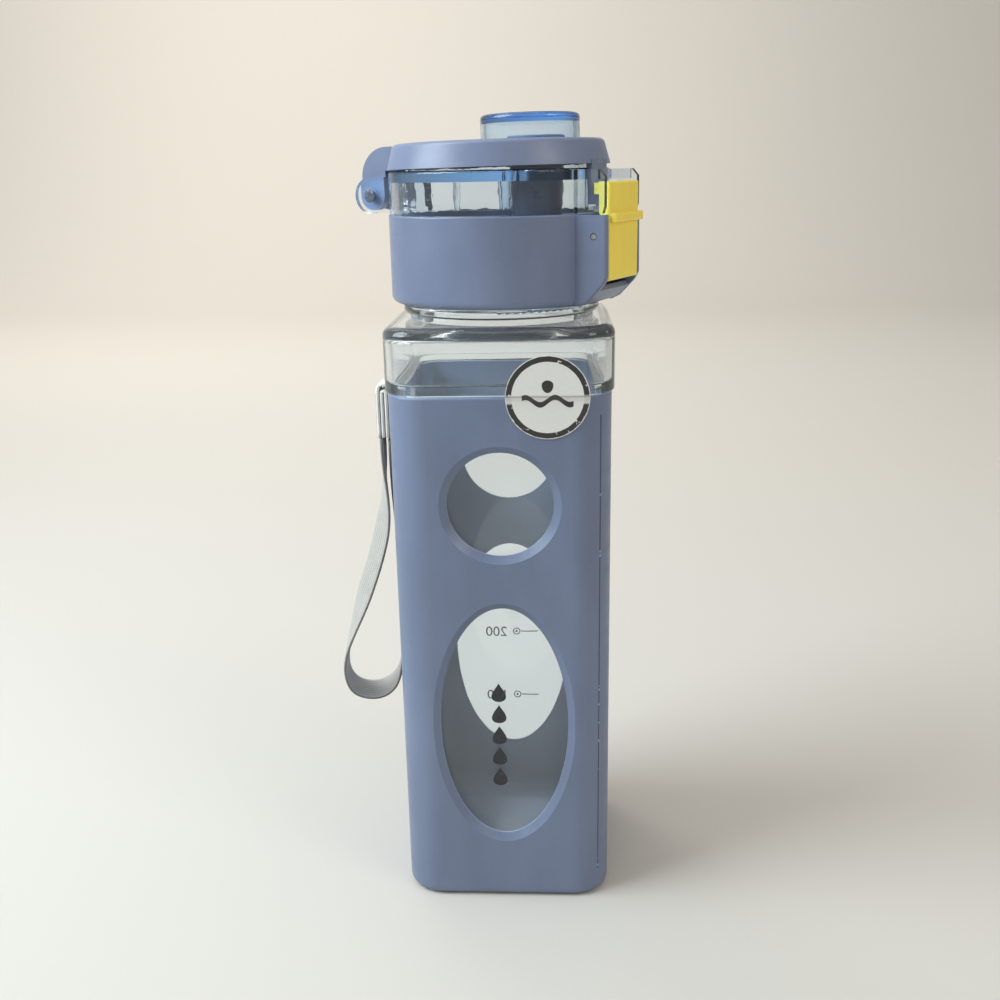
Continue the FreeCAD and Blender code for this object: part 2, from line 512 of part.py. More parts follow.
# ---- flip cover -------------------------------------------------------------------------------------
def flip_cover():
    lower_r, upper_r = COVER_R, COVER_R - COVER_TAPER
    rim = Part.makeCone(lower_r, upper_r, COVER_H, V(0, 0, COVER_Z))
    rim = round_at(rim, COVER_TOP, COVER_ROUND)
    hollow = disc(upper_r - 2.4, COVER_Z - 1, SKIN_Z)
    left = HINGE_A - BARREL_R
    bend = 9.5
    corner = V(left, -ARM_HALF, COVER_TOP - bend)
    peak = V(left + bend, -ARM_HALF, COVER_TOP)
    inset = bend * (1 - math.sqrt(0.5))
    mid = V(left + inset, -ARM_HALF, COVER_TOP - inset)
    right = HINGE_A + BARREL_R
    inner = -upper_r + 1.5
    outline = [
        Part.LineSegment(V(left, -ARM_HALF, HINGE_Z), corner).toShape(),
        Part.Arc(corner, mid, peak).toShape(),
        Part.LineSegment(peak, V(inner, -ARM_HALF, COVER_TOP)).toShape(),
        Part.LineSegment(V(inner, -ARM_HALF, COVER_TOP), V(inner, -ARM_HALF, COVER_Z)).toShape(),
        Part.LineSegment(V(inner, -ARM_HALF, COVER_Z), V(right, -ARM_HALF, COVER_Z)).toShape(),
        Part.LineSegment(V(right, -ARM_HALF, COVER_Z), V(right, -ARM_HALF, HINGE_Z)).toShape(),
        Part.LineSegment(V(right, -ARM_HALF, HINGE_Z), V(left, -ARM_HALF, HINGE_Z)).toShape(),
    ]
    arm = Part.Face(Part.Wire(outline)).extrude(V(0, 2 * ARM_HALF, 0))
    barrel = rod(BARREL_R, HINGE_A, HINGE_Z, -ARM_HALF, ARM_HALF)
    foot_z = LIP_Z - CATCH_GAP - TILT_LIFT
    stem_a = COVER_R - 0.2 - TONGUE_T
    stem = box(stem_a, stem_a + TONGUE_T, -TONGUE_HALF, TONGUE_HALF, foot_z - 2.7, COVER_Z + 1)
    foot = box(stem_a, LIP_A - CATCH_GAP, -TONGUE_HALF, TONGUE_HALF, foot_z - 2.7, foot_z)
    root = box(upper_r - TONGUE_ROOT, stem_a + TONGUE_T / 2, -TONGUE_HALF, TONGUE_HALF, COVER_Z, COVER_Z + 1.5)
    body = fuse(rim.cut(hollow), arm, barrel, root)
    body = fuse(body, stem, foot)
    pocket = box(HINGE_A - 3.1, right + 1, -SPRING_HALF - SPRING_POCKET, SPRING_HALF + SPRING_POCKET,
                 HINGE_Z - BARREL_R - 1, HINGE_Z + 4.4)
    pin = rod(HINGE_PIN_R + RUN, HINGE_A, HINGE_Z, -ARM_HALF - 1, ARM_HALF + 1)
    seat = ring(DOME_R + 0.1, DOME_R - DOME_WALL - 0.1, COVER_TOP - DOME_SEAT, COVER_TOP + 1, DOME_A)
    hole = disc(PLUG_R - PLUG_FLANGE + 0.05, SKIN_Z - 1, COVER_TOP + 1, SPOUT_A)
    return body.cut(fuse(pocket, pin)).cut(seat).cut(hole)


def cover_dome():
    base = COVER_TOP - DOME_SEAT + 0.1
    top = COVER_TOP + DOME_RISE
    shell = round_at(disc(DOME_R, base, top, DOME_A), top, 1.3)
    return shell.cut(disc(DOME_R - DOME_WALL, base - 1, top - DOME_TOP, DOME_A))


def spout_plug():
    waist = PLUG_R - PLUG_FLANGE
    low = SPOUT_TOP + 0.45 - (SPOUT_A - HINGE_A) * math.sin(math.radians(COVER_TILT))
    bead = round_at(disc(PLUG_R, COVER_TOP + 0.05, COVER_TOP + PLUG_RISE, SPOUT_A), COVER_TOP + PLUG_RISE, 0.5)
    neck = disc(waist, SKIN_Z - 0.1, COVER_TOP + 0.1, SPOUT_A)
    pad = disc(PLUG_R, low, SKIN_Z - 0.05, SPOUT_A)
    nose = Part.makeCone(SPOUT_BORE - 1.9, SPOUT_BORE - 0.9, 2.2, V(SPOUT_A, 0, low - 2.2))
    return fuse(pad, neck, bead, nose)


# ---- latch --------------------------------------------------------------------------------------------
def latch_lever():
    plate = box(LEVER_IN, LEVER_OUT, -LEVER_HALF, LEVER_HALF, LEVER_LOW, LEVER_HIGH)
    face = [e for e in plate.Edges if e.BoundBox.XMin > LEVER_OUT - 1e-3]
    plate = plate.makeFillet(0.9, face)
    lip = box(LIP_A, LEVER_IN + 0.5, -LEVER_HALF + 0.5, LEVER_HALF - 0.5, LIP_Z, LEVER_HIGH - 0.3)
    rib_z = SKIRT_TOP + RIB_Z
    rib = box(LEVER_OUT - 0.6, LEVER_OUT + RIB_OUT, -LEVER_HALF + 0.3, LEVER_HALF - 0.3,
              rib_z - RIB_H / 2, rib_z + RIB_H / 2)
    rib = rib.makeFillet(0.8, [e for e in rib.Edges if e.BoundBox.XMin > LEVER_OUT + RIB_OUT - 1e-3])
    boss = rod(LEVER_BOSS_R, LATCH_PIN_A, PIN_Z, -LEVER_HALF, LEVER_HALF)
    body = fuse(plate, lip, rib, boss)
    pocket = rod(LEVER_BOSS_R + 0.2, LATCH_PIN_A, PIN_Z, -SPRING_HALF - SPRING_POCKET, SPRING_HALF + SPRING_POCKET)
    channel = box(LEVER_IN - 0.1, LEVER_IN + 1.2, -SPRING_HALF - SPRING_POCKET, SPRING_HALF + SPRING_POCKET,
                  PIN_Z - 5.2, PIN_Z + 5.2)
    pin = rod(LATCH_PIN_R + RUN, LATCH_PIN_A, PIN_Z, -LEVER_HALF - 1, LEVER_HALF + 1)
    return body.cut(fuse(pocket, channel, pin))


def pin_rod(r, a, z, half):
    pin = rod(r, a, z, -half, half)
    return pin.makeChamfer(0.25, [e for e in pin.Edges if abs(e.BoundBox.YMax - e.BoundBox.YMin) < 1e-6])


# ---- the pieces ------------------------------------------------------------------------------------------
save("glass_bottle", glass_bottle())
save("sleeve", sleeve())
save("round_label", round_label())
save("strap_anchor", strap_anchor())
save("wrist_strap", wrist_strap())
save("neck_gasket", place_lid(neck_gasket()))
save("cap_skirt", place_lid(cap_skirt()))
save("cap_liner", place_lid(cap_liner()))
save("lid_deck", place_lid(lid_deck()))
save("mouth_spout", place_lid(mouth_spout()))
save("vent_tube", place_lid(vent_tube()))
save("hinge_pin", place_lid(pin_rod(HINGE_PIN_R, HINGE_A, HINGE_Z, CHEEK_OUT - 0.2)))
save("latch_pin", place_lid(pin_rod(LATCH_PIN_R, LATCH_PIN_A, PIN_Z, HOUSE_OUT - 0.1)))
save("flip_cover", place_cover(flip_cover()))
save("cover_dome", place_cover(cover_dome()))
save("spout_plug", place_cover(spout_plug()))
save("hinge_spring", place_cover(coil(HINGE_A, HINGE_Z, 2.2, [(3.6, 1), (3.6, -1)])))
save("latch_lever", place_lid(latch_lever()))
save("latch_spring", place_lid(coil(LATCH_PIN_A, PIN_Z, 1.65, [(4.5, -1), (4.5, 1)])))
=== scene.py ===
"""Square glass water bottle: finishes, webbing, print and stage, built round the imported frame.

Metres, in the frame of the CAD. Laid out as an add-on and run as a script.
"""
import json
import math

import bmesh
import bpy
from bpy.props import FloatProperty, FloatVectorProperty, IntProperty, PointerProperty
from mathutils import Matrix, Vector, noise

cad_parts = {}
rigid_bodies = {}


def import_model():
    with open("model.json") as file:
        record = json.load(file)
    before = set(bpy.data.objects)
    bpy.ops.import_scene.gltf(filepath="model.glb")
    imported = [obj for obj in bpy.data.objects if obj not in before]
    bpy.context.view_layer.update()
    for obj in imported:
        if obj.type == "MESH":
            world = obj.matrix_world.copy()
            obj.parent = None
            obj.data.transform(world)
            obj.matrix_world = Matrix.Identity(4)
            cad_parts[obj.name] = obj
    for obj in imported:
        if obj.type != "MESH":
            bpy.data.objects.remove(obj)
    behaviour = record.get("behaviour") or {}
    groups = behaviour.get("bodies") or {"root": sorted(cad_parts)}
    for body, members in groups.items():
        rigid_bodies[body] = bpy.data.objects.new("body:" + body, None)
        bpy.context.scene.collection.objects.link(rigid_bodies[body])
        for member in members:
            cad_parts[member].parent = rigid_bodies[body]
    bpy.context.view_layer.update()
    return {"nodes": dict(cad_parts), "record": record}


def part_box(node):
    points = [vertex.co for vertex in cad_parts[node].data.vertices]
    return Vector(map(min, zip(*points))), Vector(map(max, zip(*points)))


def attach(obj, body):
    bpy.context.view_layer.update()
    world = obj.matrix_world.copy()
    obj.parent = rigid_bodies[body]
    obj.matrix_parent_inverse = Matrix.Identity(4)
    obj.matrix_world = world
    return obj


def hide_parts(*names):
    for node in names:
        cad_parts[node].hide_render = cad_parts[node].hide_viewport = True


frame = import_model()

bl_info = {
    "name": "Square Glass Bottle",
    "version": (1, 0, 0),
    "blender": (4, 5, 0),
    "location": "View3D > Sidebar > Bottle",
    "description": "Builds a square glass bottle in its windowed sleeve",
    "category": "Object",
}

NODES = frame["nodes"]
JOINTS = {joint["name"]: joint for joint in frame["record"]["behaviour"]["joints"]}
MM = 0.001
SLEEVE_LOW, SLEEVE_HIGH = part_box("sleeve")
ANCHOR_LOW, ANCHOR_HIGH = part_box("strap_anchor")
SLEEVE_TOP = SLEEVE_HIGH.z
SLEEVE_CORNER = 12 * MM
SLEEVE_WALL, GLASS_GAP = 2.2 * MM, 0.15 * MM
GLASS_BACK = SLEEVE_HIGH.y - SLEEVE_WALL - GLASS_GAP     # outer face of the glass behind the back windows

# The strap's route, each point as (out from the sleeve's left wall, y, below the sleeve's top), in metres.
STRAP_ROUTE = [
    (0.0042, -0.0115, 0.0165), (0.0040, -0.0114, 0.0290), (0.0047, -0.0112, 0.0430),
    (0.0081, -0.0106, 0.0570), (0.0132, -0.0096, 0.0710), (0.0180, -0.0082, 0.0840),
    (0.0213, -0.0066, 0.0940), (0.0222, -0.0049, 0.1020), (0.0205, -0.0030, 0.1084),
    (0.0154, -0.0010, 0.1116), (0.0100, 0.0012, 0.1118), (0.0056, 0.0032, 0.1082),
    (0.0034, 0.0050, 0.1008), (0.0025, 0.0060, 0.0890), (0.0024, 0.0060, 0.0760),
    (0.0023, 0.0032, 0.0610), (0.0022, -0.0024, 0.0455), (0.0020, -0.0082, 0.0310),
    (0.0015, -0.0115, 0.0165),
]


# ---- sizes and colours ------------------------------------------------------------------------
def colour(name, description, value):
    return FloatVectorProperty(name=name, description=description, default=value, size=3,
                               min=0.0, max=1.0, subtype="COLOR")


def length(name, description, value):
    return FloatProperty(name=name, description=description, default=value, min=0.0,
                         unit="LENGTH", subtype="DISTANCE", precision=5)


class BottleColours(bpy.types.PropertyGroup):
    """Colours of the bottle's materials and of the stage"""

    sleeve: colour("Sleeve", "Soft-touch plastic of the sleeve", (0.158, 0.200, 0.305))
    # Painted light: a paler colour for the sleeve's inner faces, in place of light that doesn't reach
    # inside.
    painted_inner_light: colour("Lining", "Inner faces of the sleeve", (0.50, 0.58, 0.76))
    lid: colour("Lid", "Satin plastic of the screw lid and flip cover", (0.170, 0.208, 0.315))
    inner: colour("Inner parts", "Spout and liner inside the lid", (0.045, 0.065, 0.115))
    latch: colour("Latch", "Latch lever", (0.98, 0.75, 0.10))
    glass: colour("Glass", "What the glass lets through over a metre", (0.55, 0.86, 0.80))
    clear: colour("Clear plastic", "What the clear lid plastic lets through", (0.34, 0.68, 0.97))
    webbing: colour("Webbing", "Woven strap", (0.57, 0.56, 0.52))
    ink: colour("Ink", "Print on the glass and the label", (0.02, 0.021, 0.026))
    floor: colour("Floor", "Stage floor and wall", (0.60, 0.575, 0.53))


class BottleSizes(bpy.types.PropertyGroup):
    """Sizes of the pieces that are modelled here"""

    strap_width: length("Strap width", "Width of the webbing", 8.0 * MM)
    strap_thick: length("Strap thickness", "Thickness of the webbing", 1.25 * MM)
    strap_ribs: IntProperty(name="Strap ribs", description="Lengthwise ribs of the webbing",
                            default=4, min=1, max=12)
    strap_twist: FloatProperty(name="Strap twist",
                               description="Turn of the hanging strap's face to the front",
                               default=math.radians(42), subtype="ANGLE")
    strap_roll: FloatProperty(name="Strap roll", description="Tilt of the strap at the foot of its loop",
                              default=math.radians(24), subtype="ANGLE")
    stitch_pitch: length("Stitch pitch", "From one stitch to the next", 1.55 * MM)
    thread_size: length("Thread size", "Half thickness of the sewing thread", 0.17 * MM)
    seam_width: length("Seam width", "Parting line on the sleeve's corners", 0.5 * MM)
    seam_chip: length("Seam chip", "Largest fleck of flash on a parting line", 0.34 * MM)
    seam_step: length("Seam step", "Closest spacing of the flecks", 1.3 * MM)
    ink_thick: length("Ink thickness", "Print on the glass", 0.05 * MM)
    number_size: length("Number size", "Type size of the scale's numbers", 5.5 * MM)
    mark_step: length("Scale step", "Height of 100 ml in the glass", 26.2 * MM)
    first_mark: length("First mark", "Height of the 100 ml mark", 43.1 * MM)
    drop_size: length("Drop size", "Height of a printed drop", 6.6 * MM)
    drop_step: length("Drop step", "From one printed drop to the next", 7.6 * MM)
    first_drop: length("First drop", "Height of the lowest printed drop", 44.5 * MM)
    drops: IntProperty(name="Drops", description="Printed drops in the column", default=5, min=1, max=8)


# ---- node nets ----------------------------------------------------------------------------------
class Wire:
    """An output socket that adds, multiplies and compares as a number does."""

    def __init__(self, net, socket):
        self.net, self.socket = net, socket

    def maths(self, operation, first, *others):
        node = self.net.tree.nodes.new("ShaderNodeMath")
        node.operation = operation
        for socket, value in zip(node.inputs, (first, *others)):
            self.net.feed(socket, value)
        return Wire(self.net, node.outputs[0])

    def __add__(self, other):
        return self.maths("ADD", self, other)

    def __radd__(self, other):
        return self.maths("ADD", other, self)

    def __sub__(self, other):
        return self.maths("SUBTRACT", self, other)

    def __rsub__(self, other):
        return self.maths("SUBTRACT", other, self)

    def __mul__(self, other):
        return self.maths("MULTIPLY", self, other)

    def __rmul__(self, other):
        return self.maths("MULTIPLY", other, self)

    def __truediv__(self, other):
        return self.maths("DIVIDE", self, other)

    def __rtruediv__(self, other):
        return self.maths("DIVIDE", other, self)

    def __pow__(self, other):
        return self.maths("POWER", self, other)

    def __gt__(self, other):
        return self.maths("GREATER_THAN", self, other)

    def __lt__(self, other):
        return self.maths("LESS_THAN", self, other)

    def __abs__(self):
        return self.maths("ABSOLUTE", self)

    def sine(self):
        return self.maths("SINE", self)

    def largest(self, other):
        return self.maths("MAXIMUM", self, other)

    def floor(self):
        return self.maths("FLOOR", self)

    def ramp(self, low, high):
        """0 below low and 1 above high, eased between."""
        node = self.net.add("ShaderNodeMapRange", {"Value": self, "From Min": low, "From Max": high},
                            interpolation_type="SMOOTHSTEP")
        return Wire(self.net, node.outputs["Result"])


class Net:
    """A node tree under construction."""

    def __init__(self, tree):
        self.tree = tree

    def feed(self, socket, value):
        if isinstance(value, Wire):
            self.tree.links.new(value.socket, socket)
        elif isinstance(value, bpy.types.NodeSocket):
            self.tree.links.new(value, socket)
        else:
            socket.default_value = value

    def add(self, kind, feeds=(), **settings):
        """Any node: settings are its properties, and feeds its inputs by name or number."""
        node = self.tree.nodes.new(kind)
        for name, value in settings.items():
            setattr(node, name, value)
        for name, value in dict(feeds).items():
            self.feed(node.inputs[name], value)
        return node


class Finish(Net):
    """A material: plain values sit on the shader's own sockets, and patterns are wired in."""

    def __init__(self, name, **plain):
        self.material = bpy.data.materials.new(name)
        self.material.use_nodes = True
        super().__init__(self.material.node_tree)
        self.shader = self.tree.nodes["Principled BSDF"]
        self.output = self.tree.nodes["Material Output"]
        for socket, value in plain.items():
            self.shader.inputs[socket.replace("_", " ")].default_value = value

    def place(self):
        """Object coordinates in millimetres."""
        source = self.add("ShaderNodeTexCoord").outputs["Object"]
        scaled = self.add("ShaderNodeVectorMath", {0: source, "Scale": 1 / MM}, operation="SCALE")
        return scaled.outputs["Vector"]

    def split(self, vector):
        node = self.add("ShaderNodeSeparateXYZ", {0: vector})
        return [Wire(self, socket) for socket in node.outputs]

    def stretched(self, vector, scale):
        node = self.add("ShaderNodeVectorMath", {0: vector, 1: scale}, operation="MULTIPLY")
        return node.outputs["Vector"]

    def noise(self, vector, size, detail=2.0, rough=0.5):
        """Noise from 0 to 1 whose lumps are about size across, in the vector's unit."""
        node = self.add("ShaderNodeTexNoise", {"Vector": vector, "Scale": 1 / size, "Detail": detail,
                                               "Roughness": rough})
        return Wire(self, node.outputs["Fac"])

    def blend(self, share, first, second, how="MIX"):
        """A colour between first and second, each a socket or three numbers."""
        node = self.add("ShaderNodeMix", data_type="RGBA", blend_type=how)
        self.feed(node.inputs["Factor"], share)
        for socket, value in ((node.inputs[6], first), (node.inputs[7], second)):
            self.feed(socket, value if isinstance(value, bpy.types.NodeSocket) else (*value, 1.0))
        return node.outputs[2]

    def colour(self, socket):
        self.feed(self.shader.inputs["Base Color"], socket)

    def roughness(self, wire):
        self.feed(self.shader.inputs["Roughness"], wire)

    def bump(self, height, depth, strength=1.0):
        """height is in millimetres once it is multiplied by depth."""
        node = self.add("ShaderNodeBump", {"Height": height, "Distance": depth * MM, "Strength": strength})
        self.feed(self.shader.inputs["Normal"], node.outputs["Normal"])

    def let_lamps_through(self, tint):
        """Lamp light passes straight through this clear material instead of stopping at it."""
        path = self.add("ShaderNodeLightPath")
        open_side = self.add("ShaderNodeBsdfTransparent")
        open_side.inputs["Color"].default_value = (*tint, 1.0)
        mix = self.add("ShaderNodeMixShader", {0: path.outputs["Is Shadow Ray"],
                                               1: self.shader.outputs[0], 2: open_side.outputs[0]})
        self.feed(self.output.inputs["Surface"], mix.outputs[0])

    def absorb(self, tint, density):
        """Colour that deepens with the thickness of the wall."""
        node = self.add("ShaderNodeVolumeAbsorption")
        node.inputs["Color"].default_value = (*tint, 1.0)
        node.inputs["Density"].default_value = density
        self.feed(self.output.inputs["Volume"], node.outputs[0])


def eased(value, low, high):
    """0 below low and 1 above high, eased between, for plain numbers."""
    share = min(1.0, max(0.0, (value - low) / (high - low)))
    return share * share * (3 - 2 * share)


def shade(rgb, factor):
    return tuple(min(1.0, channel * factor) for channel in rgb)


def satin_plastic(name, rgb, roughness=0.42, grain=0.35, painted_inner_light=None):
    """Moulded plastic with a fine satin grain, faint flow marks and handling smears.

    The optional second colour is painted light: a paler colour put on the inner faces of the sleeve, fading
    out towards the rim, in place of light that doesn't reach inside.
    """
    finish = Finish(name, Roughness=roughness, Specular_IOR_Level=0.5)
    place = finish.place()
    flow = finish.noise(finish.stretched(place, (1.0, 1.0, 0.35)), 16.0, detail=3.0)
    speck = finish.noise(place, 0.55, detail=1.0)
    body = finish.blend(flow.ramp(0.3, 0.75), shade(rgb, 0.93), shade(rgb, 1.08))
    body = finish.blend(speck.ramp(0.62, 0.75) * 0.18, body, shade(rgb, 1.5))
    # Painted light: the inner faces below the rim are blended into the paler second colour.
    if painted_inner_light:
        x, y, z = finish.split(place)
        flat, inner_corner = (SLEEVE_HIGH.x - SLEEVE_CORNER) / MM, (SLEEVE_CORNER - SLEEVE_WALL) / MM
        past_x, past_y = abs(x).largest(flat) - flat, abs(y).largest(flat) - flat
        reach = (past_x * past_x + past_y * past_y) ** 0.5
        inside = (1 - reach.ramp(inner_corner + 0.1, inner_corner + 0.5)) * (z > 1.0)
        fade_from, fade_to = SLEEVE_TOP / MM - 23.7, SLEEVE_TOP / MM - 9.7
        inner_light_fade = 1 - z.ramp(fade_from, fade_to)
        body = finish.blend(inside * inner_light_fade, body, painted_inner_light)
    finish.colour(body)
    smear = finish.noise(finish.stretched(place, (0.6, 0.6, 1.6)), 9.0, detail=4.0, rough=0.65)
    finish.roughness(smear.ramp(0.35, 0.8) * 0.16 + (roughness - 0.06))
    scuff = finish.noise(finish.stretched(place, (7.0, 7.0, 0.5)), 2.0, detail=3.0)
    finish.bump(finish.noise(place, grain, detail=2.0) + scuff.ramp(0.66, 0.72) * 0.5, 0.035, 0.55)
    return finish.material


def clear_material(name, tint, density, ior, lamp_tint, ripple, depth, skin, haze):
    """Clear glass or plastic with a moulded ripple, a slight haze and colour that deepens with thickness.

    tint and density colour its inside, skin colours what crosses its surface, and lamp_tint colours lamp
    light that passes through it. ripple is the ripple's size in millimetres and depth its height.
    """
    finish = Finish(name, Roughness=0.0, IOR=ior, Transmission_Weight=1.0 - haze)
    finish.shader.inputs["Base Color"].default_value = (*skin, 1.0)
    place = finish.place()
    wave = finish.noise(finish.stretched(place, (1.0, 1.0, 0.6)), ripple, detail=2.0)
    finish.bump(wave, depth, 0.5)
    finish.absorb(tint, density)
    finish.let_lamps_through(lamp_tint)
    return finish.material


def wear_finish(nodes, material):
    """Gives CAD nodes a material."""
    for name in nodes:
        for slot in NODES[name].material_slots:
            slot.material = material


# ---- pieces ---------------------------------------------------------------------------------------
def piece(name, mesh, body, slot, *materials):
    """A finished piece at the origin that rides on a body."""
    for material in materials:
        mesh.materials.append(material)
    made = bpy.data.objects.new(name, mesh)
    bpy.context.scene.collection.objects.link(made)
    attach(made, body)
    return made


def grown(name, mesh, tree, sizes, body, slot):
    """Runs a node tree on a mesh, keeps the result as a plain mesh and rides it on a body."""
    seed = bpy.data.objects.new(name + "_seed", mesh)
    bpy.context.scene.collection.objects.link(seed)
    modifier = seed.modifiers.new("grow", "NODES")
    modifier.node_group = tree
    for item in tree.interface.items_tree:
        if item.item_type == "SOCKET" and item.in_out == "INPUT" and item.name in sizes:
            modifier[item.identifier] = sizes[item.name]
    graph = bpy.context.evaluated_depsgraph_get()
    plain = bpy.data.meshes.new_from_object(seed.evaluated_get(graph))
    seed.modifiers.remove(modifier)
    bpy.data.objects.remove(seed)
    plain.name = name
    return piece(name, plain, body, slot)


def line_mesh(name, lines):
    """Edges along each list of points."""
    mesh = bpy.data.meshes.new(name)
    points, edges = [], []
    for line in lines:
        start = len(points)
        points += line
        edges += [(start + i, start + i + 1) for i in range(len(line) - 1)]
    mesh.from_pydata(points, edges, [])
    return mesh


def growth_tree(name, inputs):
    """An empty geometry tree with named size inputs. Returns the net, its group input and output."""
    tree = bpy.data.node_groups.new(name, "GeometryNodeTree")
    tree.interface.new_socket("Geometry", in_out="INPUT", socket_type="NodeSocketGeometry")
    for label in inputs:
        tree.interface.new_socket(label, in_out="INPUT", socket_type="NodeSocketFloat")
    tree.interface.new_socket("Geometry", in_out="OUTPUT", socket_type="NodeSocketGeometry")
    net = Net(tree)
    return net, net.add("NodeGroupInput"), net.add("NodeGroupOutput")


def stitch_tree(material):
    """A rounded thread stitch at each step along every line."""
    net, given, result = growth_tree("stitches", ("Pitch", "Thread"))
    lines = net.add("GeometryNodeMeshToCurve", {"Mesh": given.outputs["Geometry"]})
    steps = net.add("GeometryNodeResampleCurve",
                    {"Curve": lines.outputs[0], "Length": given.outputs["Pitch"]}, mode="LENGTH")
    bead = net.add("GeometryNodeMeshIcoSphere", {"Radius": 1.0, "Subdivisions": 2})
    along = net.add("GeometryNodeInputTangent")
    facing = net.add("FunctionNodeAlignRotationToVector", {"Vector": along.outputs[0]}, axis="X")
    half = net.add("ShaderNodeMath", {0: given.outputs["Pitch"], 1: 0.42}, operation="MULTIPLY")
    size = net.add("ShaderNodeCombineXYZ", {0: half.outputs[0], 1: given.outputs["Thread"],
                                            2: given.outputs["Thread"]})
    beads = net.add("GeometryNodeInstanceOnPoints",
                    {"Points": steps.outputs[0], "Instance": bead.outputs["Mesh"],
                     "Rotation": facing.outputs[0], "Scale": size.outputs[0]})
    real = net.add("GeometryNodeRealizeInstances", {"Geometry": beads.outputs[0]})
    smoothed = net.add("GeometryNodeSetShadeSmooth", {"Geometry": real.outputs[0]})
    final = net.add("GeometryNodeSetMaterial", {"Geometry": smoothed.outputs[0], "Material": material})
    net.feed(result.inputs[0], final.outputs[0])
    return net.tree


def ridge_tree(material):
    """A fine ridge along each line."""
    net, given, result = growth_tree("parting_ridge", ("Width",))
    lines = net.add("GeometryNodeMeshToCurve", {"Mesh": given.outputs["Geometry"]})
    radius = net.add("ShaderNodeMath", {0: given.outputs["Width"], 1: 0.5}, operation="MULTIPLY")
    section = net.add("GeometryNodeCurvePrimitiveCircle", {"Resolution": 6, "Radius": radius.outputs[0]})
    ridge = net.add("GeometryNodeCurveToMesh", {"Curve": lines.outputs[0],
                                                "Profile Curve": section.outputs[0], "Fill Caps": True})
    real = net.add("GeometryNodeRealizeInstances", {"Geometry": ridge.outputs[0]})
    final = net.add("GeometryNodeSetMaterial", {"Geometry": real.outputs[0], "Material": material})
    net.feed(result.inputs[0], final.outputs[0])
    return net.tree


def flash_tree(material):
    """Flecks of moulding flash along each line, of random size and spacing."""
    net, given, result = growth_tree("parting_flash", ("Chip", "Step"))
    lines = net.add("GeometryNodeMeshToCurve", {"Mesh": given.outputs["Geometry"]})
    steps = net.add("GeometryNodeResampleCurve",
                    {"Curve": lines.outputs[0], "Length": given.outputs["Step"]}, mode="LENGTH")
    thinned = net.add("FunctionNodeRandomValue", {"Probability": 0.4, "Seed": 11}, data_type="BOOLEAN")
    fleck = net.add("GeometryNodeMeshIcoSphere", {"Radius": 1.0, "Subdivisions": 1})
    spread = net.add("FunctionNodeRandomValue", {2: 0.3, 3: 1.0, "Seed": 5}, data_type="FLOAT")
    chip = net.add("ShaderNodeMath", {0: given.outputs["Chip"], 1: spread.outputs[1]}, operation="MULTIPLY")
    tall = net.add("ShaderNodeMath", {0: chip.outputs[0], 1: 2.6}, operation="MULTIPLY")
    size = net.add("ShaderNodeCombineXYZ", {0: chip.outputs[0], 1: chip.outputs[0], 2: tall.outputs[0]})
    flecks = net.add("GeometryNodeInstanceOnPoints",
                     {"Points": steps.outputs[0], "Selection": thinned.outputs[3],
                      "Instance": fleck.outputs["Mesh"], "Scale": size.outputs[0]})
    real = net.add("GeometryNodeRealizeInstances", {"Geometry": flecks.outputs[0]})
    final = net.add("GeometryNodeSetMaterial", {"Geometry": real.outputs[0], "Material": material})
    net.feed(result.inputs[0], final.outputs[0])
    return net.tree


def print_mesh(name, loops, thick):
    """Flat ink from closed outlines in (across, up), with outlines inside others left open. Faces +Z."""
    curve = bpy.data.curves.new(name, "CURVE")
    curve.dimensions = "2D"
    curve.fill_mode = "BOTH"
    curve.extrude = thick / 2
    for loop in loops:
        spline = curve.splines.new("POLY")
        spline.points.add(len(loop) - 1)
        for point, (across, up) in zip(spline.points, loop):
            point.co = (across, up, 0.0, 1.0)
        spline.use_cyclic_u = True
    return flattened(name, curve)


def text_mesh(name, words, height, thick):
    curve = bpy.data.curves.new(name, "FONT")
    curve.body = words
    curve.size = height
    curve.extrude = thick / 2
    curve.align_x = "LEFT"
    return flattened(name, curve)


def flattened(name, curve):
    """The curve's filled shape as a plain mesh."""
    holder = bpy.data.objects.new(name + "_outline", curve)
    bpy.context.scene.collection.objects.link(holder)
    graph = bpy.context.evaluated_depsgraph_get()
    mesh = bpy.data.meshes.new_from_object(holder.evaluated_get(graph))
    bpy.data.objects.remove(holder)
    mesh.materials.clear()
    return mesh


def joined(name, meshes):
    """One mesh from several, its doubles merged."""
    work = bmesh.new()
    for mesh in meshes:
        work.from_mesh(mesh)
    bmesh.ops.remove_doubles(work, verts=work.verts, dist=1e-7)
    bmesh.ops.recalc_face_normals(work, faces=work.faces)
    result = bpy.data.meshes.new(name)
    work.to_mesh(result)
    work.free()
    return result


def circle(centre, radius, count=28):
    return [(centre[0] + radius * math.cos(2 * math.pi * i / count),
             centre[1] + radius * math.sin(2 * math.pi * i / count)) for i in range(count)]


